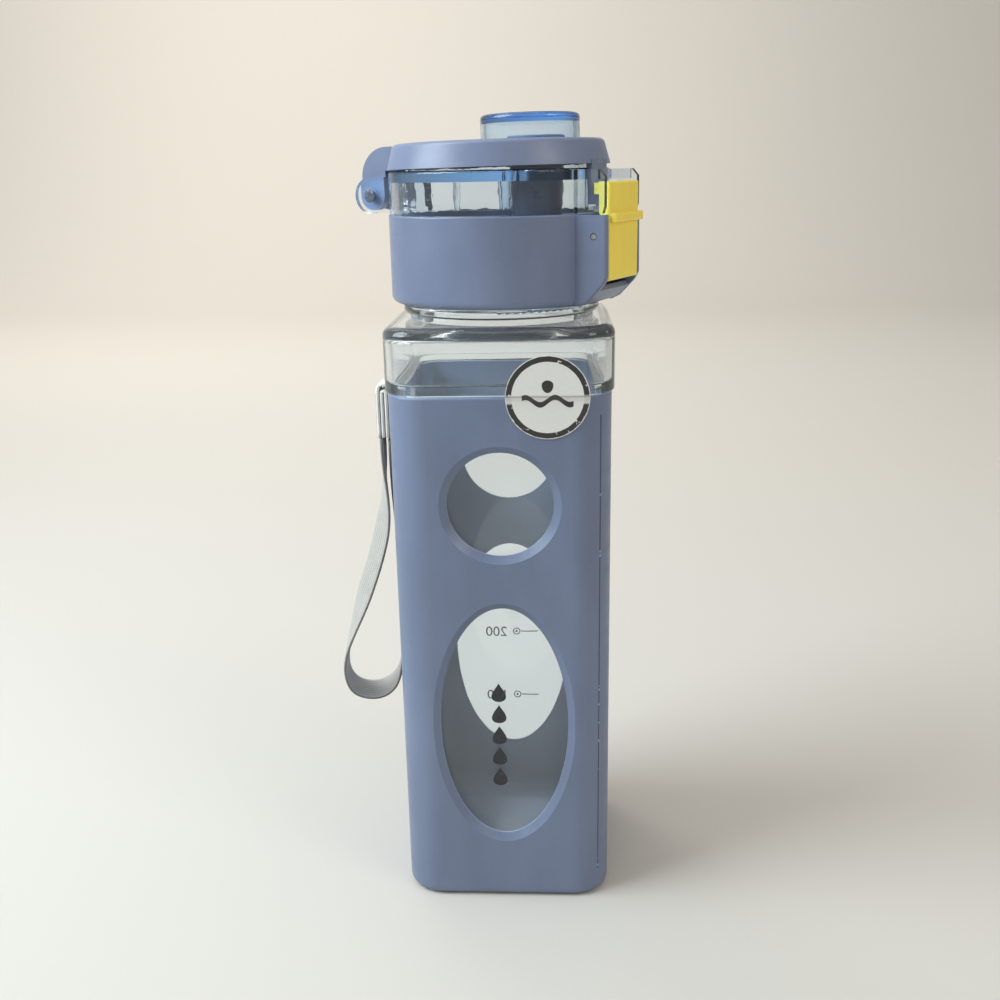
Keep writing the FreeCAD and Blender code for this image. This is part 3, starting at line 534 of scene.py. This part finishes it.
def band_mesh(name, points, across_at, width, thick, ribs, closed=False):
    """Webbing along points. across_at gives the width's direction at each one. UV is (along, across)."""
    count = len(points)
    steps = 4 * ribs
    rib_depth = 0.07 * thick
    profile = []
    for side in (1, -1):
        for i in range(steps + 1):
            share = side * (2 * i / steps - 1)
            rib = rib_depth * (0.5 - 0.5 * math.cos(2 * math.pi * ribs * i / steps))
            edge = 1 - abs(share) ** 8 * 0.45
            profile.append((share * width / 2, side * ((thick / 2 - rib_depth) * edge + rib)))
    work = bmesh.new()
    uv = work.loops.layers.uv.new("webbing")
    run = [0.0]
    for before, after in zip(points, points[1:]):
        run.append(run[-1] + (after - before).length)
    rings = []
    for i, point in enumerate(points):
        if closed:
            before, after = points[(i - 1) % count], points[(i + 1) % count]
        else:
            before, after = points[max(i - 1, 0)], points[min(i + 1, count - 1)]
        ahead = (after - before).normalized()
        across = across_at(run[i] / run[-1])
        across = (across - ahead * ahead.dot(across)).normalized()
        up = ahead.cross(across)
        rings.append([work.verts.new(point + across * a + up * b) for a, b in profile])
    sides = len(profile)
    laps = count if closed else count - 1
    for i in range(laps):
        j = (i + 1) % count
        for k in range(sides):
            m = (k + 1) % sides
            face = work.faces.new((rings[i][k], rings[j][k], rings[j][m], rings[i][m]))
            face.smooth = True
            ends = (run[i], run[i] + (points[j] - points[i]).length)
            spots = ((ends[0], k), (ends[1], k), (ends[1], m), (ends[0], m))
            for loop, (along, which) in zip(face.loops, spots):
                loop[uv].uv = (along / MM, profile[which][0] / width + 0.5)
    if not closed:
        work.faces.new(rings[0])
        work.faces.new(reversed(rings[-1]))
    bmesh.ops.recalc_face_normals(work, faces=work.faces)
    mesh = bpy.data.meshes.new(name)
    work.to_mesh(mesh)
    work.free()
    return mesh


def spline_points(name, points, resolution=6):
    """Points of the smooth NURBS line through a route, read from the curve itself."""
    curve = bpy.data.curves.new(name, "CURVE")
    curve.dimensions = "3D"
    curve.resolution_u = resolution
    spline = curve.splines.new("NURBS")
    spline.points.add(len(points) - 1)
    for point, place in zip(spline.points, points):
        point.co = (*place, 1.0)
    spline.order_u = 3
    spline.use_endpoint_u = True
    mesh = flattened(name, curve)
    return [vertex.co.copy() for vertex in mesh.vertices]


# ---- operators --------------------------------------------------------------------------------------
class Builder:
    """What the operators share."""

    bl_options = {"REGISTER", "UNDO"}

    @property
    def sizes(self):
        return bpy.context.scene.bottle_sizes

    @property
    def colours(self):
        return bpy.context.scene.bottle_colours


class BOTTLE_OT_sleeve(Builder, bpy.types.Operator):
    """Finishes the sleeve and adds the parting lines on its corners"""

    bl_idname = "bottle.sleeve"
    bl_label = "Sleeve"

    def execute(self, context):
        rgb = tuple(self.colours.sleeve)
        # The sleeve's inner faces get the paler lining colour, as painted light.
        wear_finish(["sleeve"], satin_plastic("sleeve_satin", rgb, 0.40, 0.4, self.colours.painted_inner_light))
        shadowed = satin_plastic("parting_ridge", shade(rgb, 0.42), 0.5, 0.3)
        flash = satin_plastic("parting_flash", shade(rgb, 2.1), 0.3, 0.3)
        sunk = 0.06 * MM
        reach = SLEEVE_HIGH.x - SLEEVE_CORNER * (1 - math.sqrt(0.5)) - sunk
        low, high = 9 * MM, SLEEVE_TOP - 6 * MM
        corners = [(reach, -reach), (-reach, reach)]
        runs = 24
        lines = [[(x, y, low + (high - low) * i / runs) for i in range(runs + 1)] for x, y in corners]
        grown("sleeve_parting", line_mesh("parting_route", lines), ridge_tree(shadowed),
              {"Width": self.sizes.seam_width}, "bottle", "sleeve_blue")
        grown("sleeve_flash", line_mesh("flash_route", lines), flash_tree(flash),
              {"Chip": self.sizes.seam_chip, "Step": self.sizes.seam_step}, "bottle", "sleeve_blue")
        return {"FINISHED"}


class BOTTLE_OT_glass(Builder, bpy.types.Operator):
    """Finishes the glass body"""

    bl_idname = "bottle.glass"
    bl_label = "Glass"

    def execute(self, context):
        glass = clear_material("bottle_glass", tuple(self.colours.glass), density=4.0, ior=1.45,
                               lamp_tint=(0.93, 0.95, 0.95), ripple=14.0, depth=0.12,
                               skin=(0.93, 0.97, 1.0), haze=0.03)
        wear_finish(["glass_bottle"], glass)
        return {"FINISHED"}


class BOTTLE_OT_scale(Builder, bpy.types.Operator):
    """Prints the volume scale on the back of the glass"""

    bl_idname = "bottle.scale"
    bl_label = "Volume scale"

    def execute(self, context):
        thick = self.sizes.ink_thick
        ink = ink_material("scale_ink", tuple(self.colours.ink))
        face = Matrix.Translation((0, GLASS_BACK + thick, 0)) @ Matrix.Rotation(math.radians(180), 4, "Z") \
            @ Matrix.Rotation(math.radians(90), 4, "X")
        line_from, line_to, line_half = -9.9 * MM, -3.5 * MM, 0.18 * MM
        ring_across, ring_radii = -1.9 * MM, (1.4 * MM, 1.05 * MM, 0.42 * MM)
        number_across, number_drop = 1.6 * MM, 1.95 * MM
        parts = []
        for count in (1, 2, 3):
            up = self.sizes.first_mark + (count - 1) * self.sizes.mark_step
            words = text_mesh("number", f"{count}00", self.sizes.number_size, thick)
            words.transform(Matrix.Translation((number_across, up - number_drop, 0)))
            line = print_mesh("line", [box_loop(line_from, line_to, up - line_half, up + line_half)], thick)
            ring = print_mesh("ring", [circle((ring_across, up), radius) for radius in ring_radii], thick)
            parts += [line, ring, words]
        mesh = joined("volume_scale", parts)
        mesh.transform(face)
        piece("volume_scale", mesh, "bottle", "label", ink)
        return {"FINISHED"}


class BOTTLE_OT_drops(Builder, bpy.types.Operator):
    """Prints a column of plain drops on the front of the glass"""

    bl_idname = "bottle.drops"
    bl_label = "Printed drops"

    def execute(self, context):
        thick, tall = self.sizes.ink_thick, self.sizes.drop_size
        across = -1.7 * MM
        ink = ink_material("drop_ink", tuple(self.colours.ink))
        loops = [drop_loop(across, self.sizes.first_drop + self.sizes.drop_step * i, tall)
                 for i in range(self.sizes.drops)]
        mesh = joined("printed_drops", [print_mesh("drop", loops, thick)])
        mesh.transform(Matrix.Translation((0, -GLASS_BACK - thick, 0))
                       @ Matrix.Rotation(math.radians(90), 4, "X"))
        piece("printed_drops", mesh, "bottle", "label", ink)
        return {"FINISHED"}


class BOTTLE_OT_label(Builder, bpy.types.Operator):
    """Finishes the round label with a worn ring and a plain wave"""

    bl_idname = "bottle.label"
    bl_label = "Round label"

    def execute(self, context):
        low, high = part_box("round_label")
        middle = (low + high) / 2
        finish = Finish("label_paper", Roughness=0.38, Coat_Weight=0.35, Coat_Roughness=0.2)
        place = finish.place()
        x, y, z = finish.split(place)
        across, up = x - middle.x / MM, z - middle.z / MM
        ring_in, ring_out = 10.7, 12.3
        wave_up, wave_high, wave_half, wave_reach = -1.0, 1.15, 0.85, 7.6
        drop_centre, drop_r, drop_reach = 4.4, 1.7, 3.2
        seam_up = 0.35

        out = (across * across + up * up) ** 0.5
        wobble = finish.noise(place, 1.6, detail=4.0, rough=0.7) - 0.5
        ring = (out + wobble * 0.3 - ring_in).ramp(-0.06, 0.06) \
            * (1 - (out + wobble * 0.5 - ring_out).ramp(-0.1, 0.05))
        chipped = finish.noise(place, 3.4, detail=5.0, rough=0.75).ramp(0.60, 0.64)
        step_wear = 1 - (abs(up + 0.6) - 0.9).ramp(0.0, 0.8)
        ring = ring * (1 - chipped) * (1 - step_wear * 0.85)

        wave = up - wave_up - (across * 0.72).sine() * wave_high
        stroke = (1 - (abs(wave) - wave_half).ramp(-0.12, 0.12)) \
            * (1 - (abs(across) - wave_reach).ramp(-0.1, 0.1))
        drop_up = up - drop_centre
        belly = 1 - (drop_up * 0.36 + 0.1).ramp(0.0, 1.0)
        drop_out = (across * across + (drop_up + 0.6) * (drop_up + 0.6) * 0.55) ** 0.5
        drop = (1 - (drop_out - drop_r * belly).ramp(-0.1, 0.1)) * (abs(drop_up) < drop_reach)
        print_share = ring.largest(stroke.largest(drop))

        fibre = finish.noise(finish.stretched(place, (1, 1, 3)), 1.2, detail=4.0, rough=0.7)
        paper = finish.blend(fibre, (0.70, 0.70, 0.675), (0.80, 0.80, 0.775))
        # Painted shade: a dark line painted along the crease, which is also bumped.
        crease_and_shade = 1 - (abs(up - seam_up) - 0.12).ramp(0.0, 0.25)
        paper = finish.blend(crease_and_shade * 0.6, paper, (0.30, 0.31, 0.34))
        finish.colour(finish.blend(print_share, paper, (0.028, 0.027, 0.028)))
        finish.roughness(fibre * 0.15 + 0.3)
        finish.bump(fibre + crease_and_shade * 1.5, 0.05, 0.5)
        wear_finish(["round_label"], finish.material)
        return {"FINISHED"}


class BOTTLE_OT_strap(Builder, bpy.types.Operator):
    """Makes the wrist strap, its sewn end and the stitches"""

    bl_idname = "bottle.strap"
    bl_label = "Wrist strap"

    def execute(self, context):
        sizes = self.sizes
        rgb = tuple(self.colours.webbing)
        # Painted shade along the strap's selvedge (0.75); the sewn end uses a painted-light copy of the
        # webbing, 1.7 times lighter, with no selvedge shade.
        webbing = webbing_material("strap_webbing", rgb, sizes.strap_ribs, 0.75)
        sewn = webbing_material("sewn_webbing", shade(rgb, 1.7), sizes.strap_ribs, 0.0)
        route = [(SLEEVE_LOW.x - out, y, SLEEVE_TOP - below) for out, y, below in STRAP_ROUTE]
        points = spline_points("strap_route", route)
        strap_mesh = band_mesh("strap", points, self.strap_across, sizes.strap_width, sizes.strap_thick,
                               sizes.strap_ribs)
        strap = piece("strap", strap_mesh, "bottle", "webbing", webbing)
        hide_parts("wrist_strap")

        outer_bend, inner_bend, inner_drop = 1.93 * MM, 0.66 * MM, 2.2 * MM
        ends = [self.fold(sewn, outer_bend, 0.0, "strap_fold_outer"),
                self.fold(sewn, inner_bend, inner_drop, "strap_fold_inner"), self.rim_loop(sewn)]
        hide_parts("strap_anchor")
        thread = thread_material("sewing_thread", shade(rgb, 0.86))
        stitches = grown("strap_stitches", line_mesh("stitch_route", self.stitch_lines()),
                         stitch_tree(thread),
                         {"Pitch": sizes.stitch_pitch, "Thread": sizes.thread_size}, "bottle", "webbing")
        return {"FINISHED"}

    def strap_across(self, share):
        """The width's direction: flat beside the sleeve, then turned forward and back again."""
        turn = self.sizes.strap_twist * eased(share, 0.02, 0.17) * (1 - eased(share, 0.25, 0.42))
        roll = self.sizes.strap_roll * eased(share, 0.36, 0.47) * (1 - eased(share, 0.56, 0.66))
        return Vector((-math.sin(turn), math.cos(turn) * math.cos(roll), math.sin(roll)))

    def fold(self, webbing, radius, drop, name):
        """One turn of webbing folded over at the top of the sewn end."""
        middle_x = (ANCHOR_LOW.x + SLEEVE_LOW.x) / 2 - 0.06 * MM
        middle_y = (ANCHOR_LOW.y + ANCHOR_HIGH.y) / 2
        top = ANCHOR_HIGH.z - radius - self.sizes.strap_thick / 2 - drop - 0.05 * MM
        foot = ANCHOR_LOW.z + 0.1 * MM
        legs = 8
        rise = (top - foot) / legs
        points = [Vector((middle_x + radius, middle_y, foot + rise * i)) for i in range(legs)]
        points += [Vector((middle_x + radius * math.cos(a), middle_y, top + radius * math.sin(a)))
                   for a in (math.pi * i / 12 for i in range(13))]
        points += [Vector((middle_x - radius, middle_y, top - rise * i)) for i in range(1, legs + 1)]
        wide = self.sizes.strap_width - 0.1 * MM
        mesh = band_mesh(name, points, lambda share: Vector((0, 1, 0)), wide, self.sizes.strap_thick,
                         self.sizes.strap_ribs)
        return piece(name, mesh, "bottle", "webbing", webbing)

    def rim_loop(self, webbing):
        """The layer that goes round the sleeve's rim and comes back through its slot."""
        inside, outside = ANCHOR_HIGH.x - 0.45 * MM, SLEEVE_LOW.x - 0.35 * MM
        high, low = SLEEVE_TOP - 0.75 * MM, SLEEVE_TOP - 12.55 * MM
        middle_y = (ANCHOR_LOW.y + ANCHOR_HIGH.y) / 2
        bend = 0.5 * MM
        points = []
        for x, z, turn in ((inside, high, 0), (outside, high, 90), (outside, low, 180), (inside, low, 270)):
            step_x = bend if x == outside else -bend
            step_z = -bend if z == high else bend
            for i in range(4):
                a = math.radians(turn + 30 * i)
                points.append(Vector((x + step_x + bend * math.cos(a), middle_y,
                                      z + step_z + bend * math.sin(a))))
        mesh = band_mesh("strap_rim_loop", points, lambda share: Vector((0, 1, 0)),
                         self.sizes.strap_width - 0.2 * MM, 0.8 * MM, self.sizes.strap_ribs, closed=True)
        return piece("strap_rim_loop", mesh, "bottle", "webbing", webbing)

    def stitch_lines(self):
        """Rows of stitches on the sewn end's outer face."""
        face = ANCHOR_LOW.x + 0.08 * MM
        edge, foot, head = 1.3 * MM, 2.0 * MM, 4.2 * MM
        y0, y1 = ANCHOR_LOW.y + edge, ANCHOR_HIGH.y - edge
        z0, z1 = ANCHOR_LOW.z + foot, ANCHOR_HIGH.z - head
        box = [(face, y0, z0), (face, y1, z0), (face, y1, z1), (face, y0, z1), (face, y0, z0)]
        return [box, [(face, y0, z0), (face, y1, z1)], [(face, y1, z0), (face, y0, z1)]]


class BOTTLE_OT_lid(Builder, bpy.types.Operator):
    """Finishes the screw lid, its liner, gasket and spout"""

    bl_idname = "bottle.lid"
    bl_label = "Screw lid"

    def execute(self, context):
        inner = tuple(self.colours.inner)
        wear_finish(["cap_skirt"], satin_plastic("lid_satin", tuple(self.colours.lid), 0.38, 0.32))
        wear_finish(["cap_liner"], satin_plastic("liner_plastic", shade(inner, 2.1), 0.4, 0.3))
        wear_finish(["mouth_spout"], satin_plastic("spout_plastic", inner, 0.33, 0.3))
        gasket = rubber_material("gasket_silicone", (0.55, 0.57, 0.58))
        wear_finish(["neck_gasket"], gasket)
        return {"FINISHED"}


class BOTTLE_OT_clear_lid(Builder, bpy.types.Operator):
    """Finishes the clear upper body of the lid, its vent tube and the dome"""

    bl_idname = "bottle.clear_lid"
    bl_label = "Clear lid"

    def execute(self, context):
        tint = tuple(self.colours.clear)
        clear = clear_material("clear_plastic", tint, density=34.0, ior=1.49, lamp_tint=(0.80, 0.90, 0.98),
                               ripple=4.0, depth=0.18, skin=(0.92, 0.96, 1.0), haze=0.012)
        wear_finish(["lid_deck"], clear)
        dome = clear_material("dome_plastic", tint, density=110.0, ior=1.49, lamp_tint=(0.66, 0.82, 0.97),
                              ripple=5.0, depth=0.2, skin=(0.94, 0.975, 1.0), haze=0.02)
        wear_finish(["cover_dome"], dome)
        tube = clear_material("tube_plastic", tint, density=90.0, ior=1.49, lamp_tint=(0.75, 0.86, 0.96),
                              ripple=3.0, depth=0.12, skin=(0.80, 0.90, 0.98), haze=0.01)
        wear_finish(["vent_tube"], tube)
        return {"FINISHED"}


class BOTTLE_OT_cover(Builder, bpy.types.Operator):
    """Finishes the flip cover and its silicone plug"""

    bl_idname = "bottle.cover"
    bl_label = "Flip cover"

    def execute(self, context):
        rgb = tuple(self.colours.lid)
        wear_finish(["flip_cover"], satin_plastic("cover_satin", shade(rgb, 1.06), 0.38, 0.32))
        wear_finish(["spout_plug"], rubber_material("plug_silicone", (0.10, 0.12, 0.16)))
        return {"FINISHED"}


class BOTTLE_OT_latch(Builder, bpy.types.Operator):
    """Finishes the latch lever, the pins and the springs"""

    bl_idname = "bottle.latch"
    bl_label = "Latch"

    def execute(self, context):
        wear_finish(["latch_lever"], satin_plastic("latch_plastic", tuple(self.colours.latch), 0.40, 0.3))
        self.stakes()
        steel = steel_material("pin_steel")
        wear_finish(["hinge_pin", "latch_pin", "hinge_spring", "latch_spring"], steel)
        return {"FINISHED"}

    def stakes(self):
        """Lumpy melted rings that hold the hinge pin's ends in the clear cheeks."""
        joint = JOINTS["cover_hinge"]
        centre, axis = Vector(joint["pos_m"]), Vector(joint["axis"])
        stake_out, stake_r, stake_high = 8.72 * MM, 2.15 * MM, 0.34 * MM
        work = bmesh.new()
        for side in (1, -1):
            bmesh.ops.create_uvsphere(work, u_segments=40, v_segments=16, radius=1.0, matrix=(
                Matrix.Translation(centre + axis * (side * stake_out)) @
                Vector((0, 0, 1)).rotation_difference(axis).to_matrix().to_4x4() @
                Matrix.Diagonal((stake_r, stake_r, stake_high, 1.0))))
        for vertex in work.verts:
            lump = noise.noise(vertex.co * 900.0) * 0.16 * MM + noise.noise(vertex.co * 2600.0) * 0.07 * MM
            vertex.co += vertex.normal * lump
        for face in work.faces:
            face.smooth = True
        mesh = bpy.data.meshes.new("hinge_stakes")
        work.to_mesh(mesh)
        work.free()
        finish = satin_plastic("staked_plastic", (0.10, 0.125, 0.17), 0.28, 0.2)
        piece("hinge_stakes", mesh, "lid", "lid_blue", finish)


class BOTTLE_OT_stage(Builder, bpy.types.Operator):
    """Makes the pale floor, the soft light and the camera"""

    bl_idname = "bottle.stage"
    bl_label = "Stage"

    def execute(self, context):
        self.camera()
        self.floor()
        self.light("window_light", at=(-0.56, -0.17, 0.62), towards=(0.0, 0.0, 0.20),
                   size=(0.45, 0.6), power=7.4, rgb=(0.82, 0.93, 1.0))
        self.light("ceiling_light", at=(-0.1, -0.1, 1.6), towards=(0.0, 0.05, 0.0),
                   size=(1.2, 1.2), power=5.0, rgb=(1.0, 0.985, 0.96))
        self.light("side_light", at=(0.75, -0.55, 0.62), towards=(0.0, 0.0, 0.24),
                   size=(0.4, 0.4), power=2.1, rgb=(1.0, 0.96, 0.90))
        self.light("wall_light", at=(-0.7, 0.9, 1.4), towards=(-0.1, 2.3, 0.5),
                   size=(1.2, 1.2), power=28.0, rgb=(1.0, 0.975, 0.93))
        world = bpy.data.worlds.new("room")
        world.use_nodes = True
        background = world.node_tree.nodes["Background"]
        background.inputs["Color"].default_value = (0.92, 0.905, 0.87, 1.0)
        background.inputs["Strength"].default_value = 0.42
        context.scene.world = world
        context.scene.view_settings.view_transform = "Standard"
        return {"FINISHED"}

    def camera(self):
        """Standing a little above the lid and looking down at the bottle."""
        lens = bpy.data.cameras.new("camera")
        lens.sensor_width = 36.0
        lens.lens = 39.4
        lens.clip_start = 0.01
        eye = bpy.data.objects.new("camera", lens)
        bpy.context.scene.collection.objects.link(eye)
        stand = Matrix.Translation((-0.00174, -0.35025, 0.23633))
        orbit, tilt, roll = math.radians(3.127), math.radians(90 - 16.88), math.radians(-1.163)
        aim = Matrix.Rotation(tilt, 4, "X") @ Matrix.Rotation(roll, 4, "Z")
        eye.matrix_world = Matrix.Rotation(orbit, 4, "Z") @ stand @ aim
        bpy.context.scene.camera = eye

    def floor(self):
        """A floor that sweeps up into a wall far behind."""
        work = bmesh.new()
        near, bend_at, radius, half, top = -2.5, 1.5, 0.8, 4.0, 3.0
        profile = [(near, 0.0), (bend_at, 0.0)]
        profile += [(bend_at + radius * math.sin(a), radius * (1 - math.cos(a)))
                    for a in (math.pi / 2 * i / 16 for i in range(1, 17))]
        profile.append((bend_at + radius, top))
        rows = [[work.verts.new((x, y, z)) for y, z in profile] for x in (-half, half)]
        for i in range(len(profile) - 1):
            face = work.faces.new((rows[0][i], rows[1][i], rows[1][i + 1], rows[0][i + 1]))
            face.smooth = True
        mesh = bpy.data.meshes.new("floor")
        work.to_mesh(mesh)
        work.free()
        finish = Finish("floor_paint", Roughness=0.75)
        rgb = tuple(self.colours.floor)
        cloud = finish.noise(finish.place(), 420.0, detail=3.0)
        finish.colour(finish.blend(cloud, shade(rgb, 0.985), shade(rgb, 1.015)))
        mesh.materials.append(finish.material)
        ground = bpy.data.objects.new("floor", mesh)
        bpy.context.scene.collection.objects.link(ground)

    def light(self, name, at, towards, size, power, rgb):
        lamp = bpy.data.lights.new(name, "AREA")
        lamp.shape = "RECTANGLE"
        lamp.size, lamp.size_y = size
        lamp.energy = power
        lamp.color = rgb
        stand = bpy.data.objects.new(name, lamp)
        bpy.context.scene.collection.objects.link(stand)
        facing = (Vector(towards) - Vector(at)).to_track_quat("-Z", "Y")
        stand.matrix_world = Matrix.Translation(at) @ facing.to_matrix().to_4x4()


# ---- materials of the small pieces ------------------------------------------------------------------
def ink_material(name, rgb):
    """Screen print with slightly starved patches."""
    finish = Finish(name, Roughness=0.45)
    thin = finish.noise(finish.place(), 0.7, detail=3.0)
    finish.colour(finish.blend(thin.ramp(0.45, 0.9), rgb, shade(rgb, 3.2)))
    finish.roughness(thin * 0.2 + 0.35)
    return finish.material


def rubber_material(name, rgb):
    finish = Finish(name, Roughness=0.5, Specular_IOR_Level=0.4)
    place = finish.place()
    cloud = finish.noise(place, 2.2, detail=3.0)
    finish.colour(finish.blend(cloud, shade(rgb, 0.88), shade(rgb, 1.12)))
    finish.roughness(cloud * 0.18 + 0.42)
    finish.bump(finish.noise(place, 0.25), 0.02, 0.4)
    return finish.material


def steel_material(name):
    """Drawn wire: bright, with fine lines."""
    finish = Finish(name, Metallic=1.0, Roughness=0.28)
    place = finish.place()
    lines = finish.noise(finish.stretched(place, (1.0, 1.0, 9.0)), 0.8, detail=3.0)
    finish.colour(finish.blend(lines, (0.42, 0.43, 0.45), (0.66, 0.67, 0.69)))
    finish.roughness(lines * 0.2 + 0.18)
    return finish.material


def thread_material(name, rgb):
    finish = Finish(name, Roughness=0.75, Sheen_Weight=0.2)
    twist = finish.noise(finish.stretched(finish.place(), (1.0, 4.0, 1.0)), 0.25, detail=2.0)
    finish.colour(finish.blend(twist, shade(rgb, 0.75), shade(rgb, 1.1)))
    finish.bump(twist, 0.04, 0.6)
    return finish.material


def webbing_material(name, rgb, ribs, selvedge_shade):
    """Woven tape: picks across and ribs along, on the piece's own map, with painted shade in the grooves
    between the ribs and painted shade along the selvedge.
    """
    finish = Finish(name, Roughness=0.78, Sheen_Weight=0.25, Sheen_Roughness=0.5)
    map_node = finish.add("ShaderNodeUVMap", uv_map="webbing")
    along, across, _ = finish.split(map_node.outputs[0])
    turn = 2 * math.pi
    rib = (across * (ribs * turn)).sine()
    rib_place = across * ribs - 0.25
    slant = abs(rib_place - rib_place.floor() - 0.5)
    pick = ((along / 0.62 + slant * 1.6) * turn).sine() * 0.5 + 0.5
    edge = (abs(across - 0.5) - 0.455).ramp(0.0, 0.03)
    groove_and_shade = (1 - (abs(rib) - 0.16).ramp(0.0, 0.3)) * (1 - edge)
    fuzz = finish.noise(finish.place(), 0.35, detail=3.0, rough=0.7)
    grime = finish.noise(finish.place(), 7.0, detail=3.0)
    height = pick * (1 - groove_and_shade * 0.8) + fuzz * 0.35 - groove_and_shade * 0.7
    tone = finish.blend(grime.ramp(0.35, 0.8), rgb, shade(rgb, 0.86))
    # Painted shade in the grooves between the ribs; the part that follows the picks is the weave's own
    # pattern.
    tone = finish.blend(pick * 0.22 + groove_and_shade * 0.62, tone, shade(rgb, 0.42))
    # Painted shade along the selvedge, scaled by the given share.
    tone = finish.blend(edge * selvedge_shade, tone, shade(rgb, 0.24))
    finish.colour(tone)
    finish.roughness(fuzz * 0.15 + 0.72)
    finish.bump(height, 0.11, 0.8)
    return finish.material


def box_loop(left, right, low, high):
    return [(left, low), (right, low), (right, high), (left, high)]


def drop_loop(across, up, tall, count=26):
    """A plain drop: a round belly that narrows to a point at its top."""
    turns = [2 * math.pi * i / count for i in range(count)]
    return [(across + 0.52 * tall * math.sin(a) * abs(math.sin(a / 2)) ** 1.6, up + 0.5 * tall * math.cos(a))
            for a in turns]


# ---- panel and registration ---------------------------------------------------------------------
class BOTTLE_PT_panel(bpy.types.Panel):
    """Sizes, colours and pieces of the bottle"""

    bl_idname = "BOTTLE_PT_panel"
    bl_label = "Square Glass Bottle"
    bl_space_type = "VIEW_3D"
    bl_region_type = "UI"
    bl_category = "Bottle"

    def draw(self, context):
        for operator in OPERATORS:
            self.layout.operator(operator.bl_idname)
        for group in (context.scene.bottle_sizes, context.scene.bottle_colours):
            box = self.layout.box()
            for name in group.__annotations__:
                box.prop(group, name)


OPERATORS = (BOTTLE_OT_stage, BOTTLE_OT_strap, BOTTLE_OT_sleeve, BOTTLE_OT_glass, BOTTLE_OT_scale,
             BOTTLE_OT_drops, BOTTLE_OT_label, BOTTLE_OT_lid, BOTTLE_OT_clear_lid, BOTTLE_OT_cover,
             BOTTLE_OT_latch)
CLASSES = (BottleColours, BottleSizes, *OPERATORS, BOTTLE_PT_panel)


def register():
    for one in CLASSES:
        bpy.utils.register_class(one)
    bpy.types.Scene.bottle_sizes = PointerProperty(type=BottleSizes)
    bpy.types.Scene.bottle_colours = PointerProperty(type=BottleColours)


def unregister():
    del bpy.types.Scene.bottle_colours
    del bpy.types.Scene.bottle_sizes
    for one in reversed(CLASSES):
        bpy.utils.unregister_class(one)


def main():
    for name in list(bpy.data.objects.keys()):
        if name in ("Cube", "Light", "Camera"):
            bpy.data.objects.remove(bpy.data.objects[name])
    register()
    for operator in OPERATORS:
        group, name = operator.bl_idname.split(".")
        getattr(getattr(bpy.ops, group), name)()


if __name__ == "__main__":
    main()
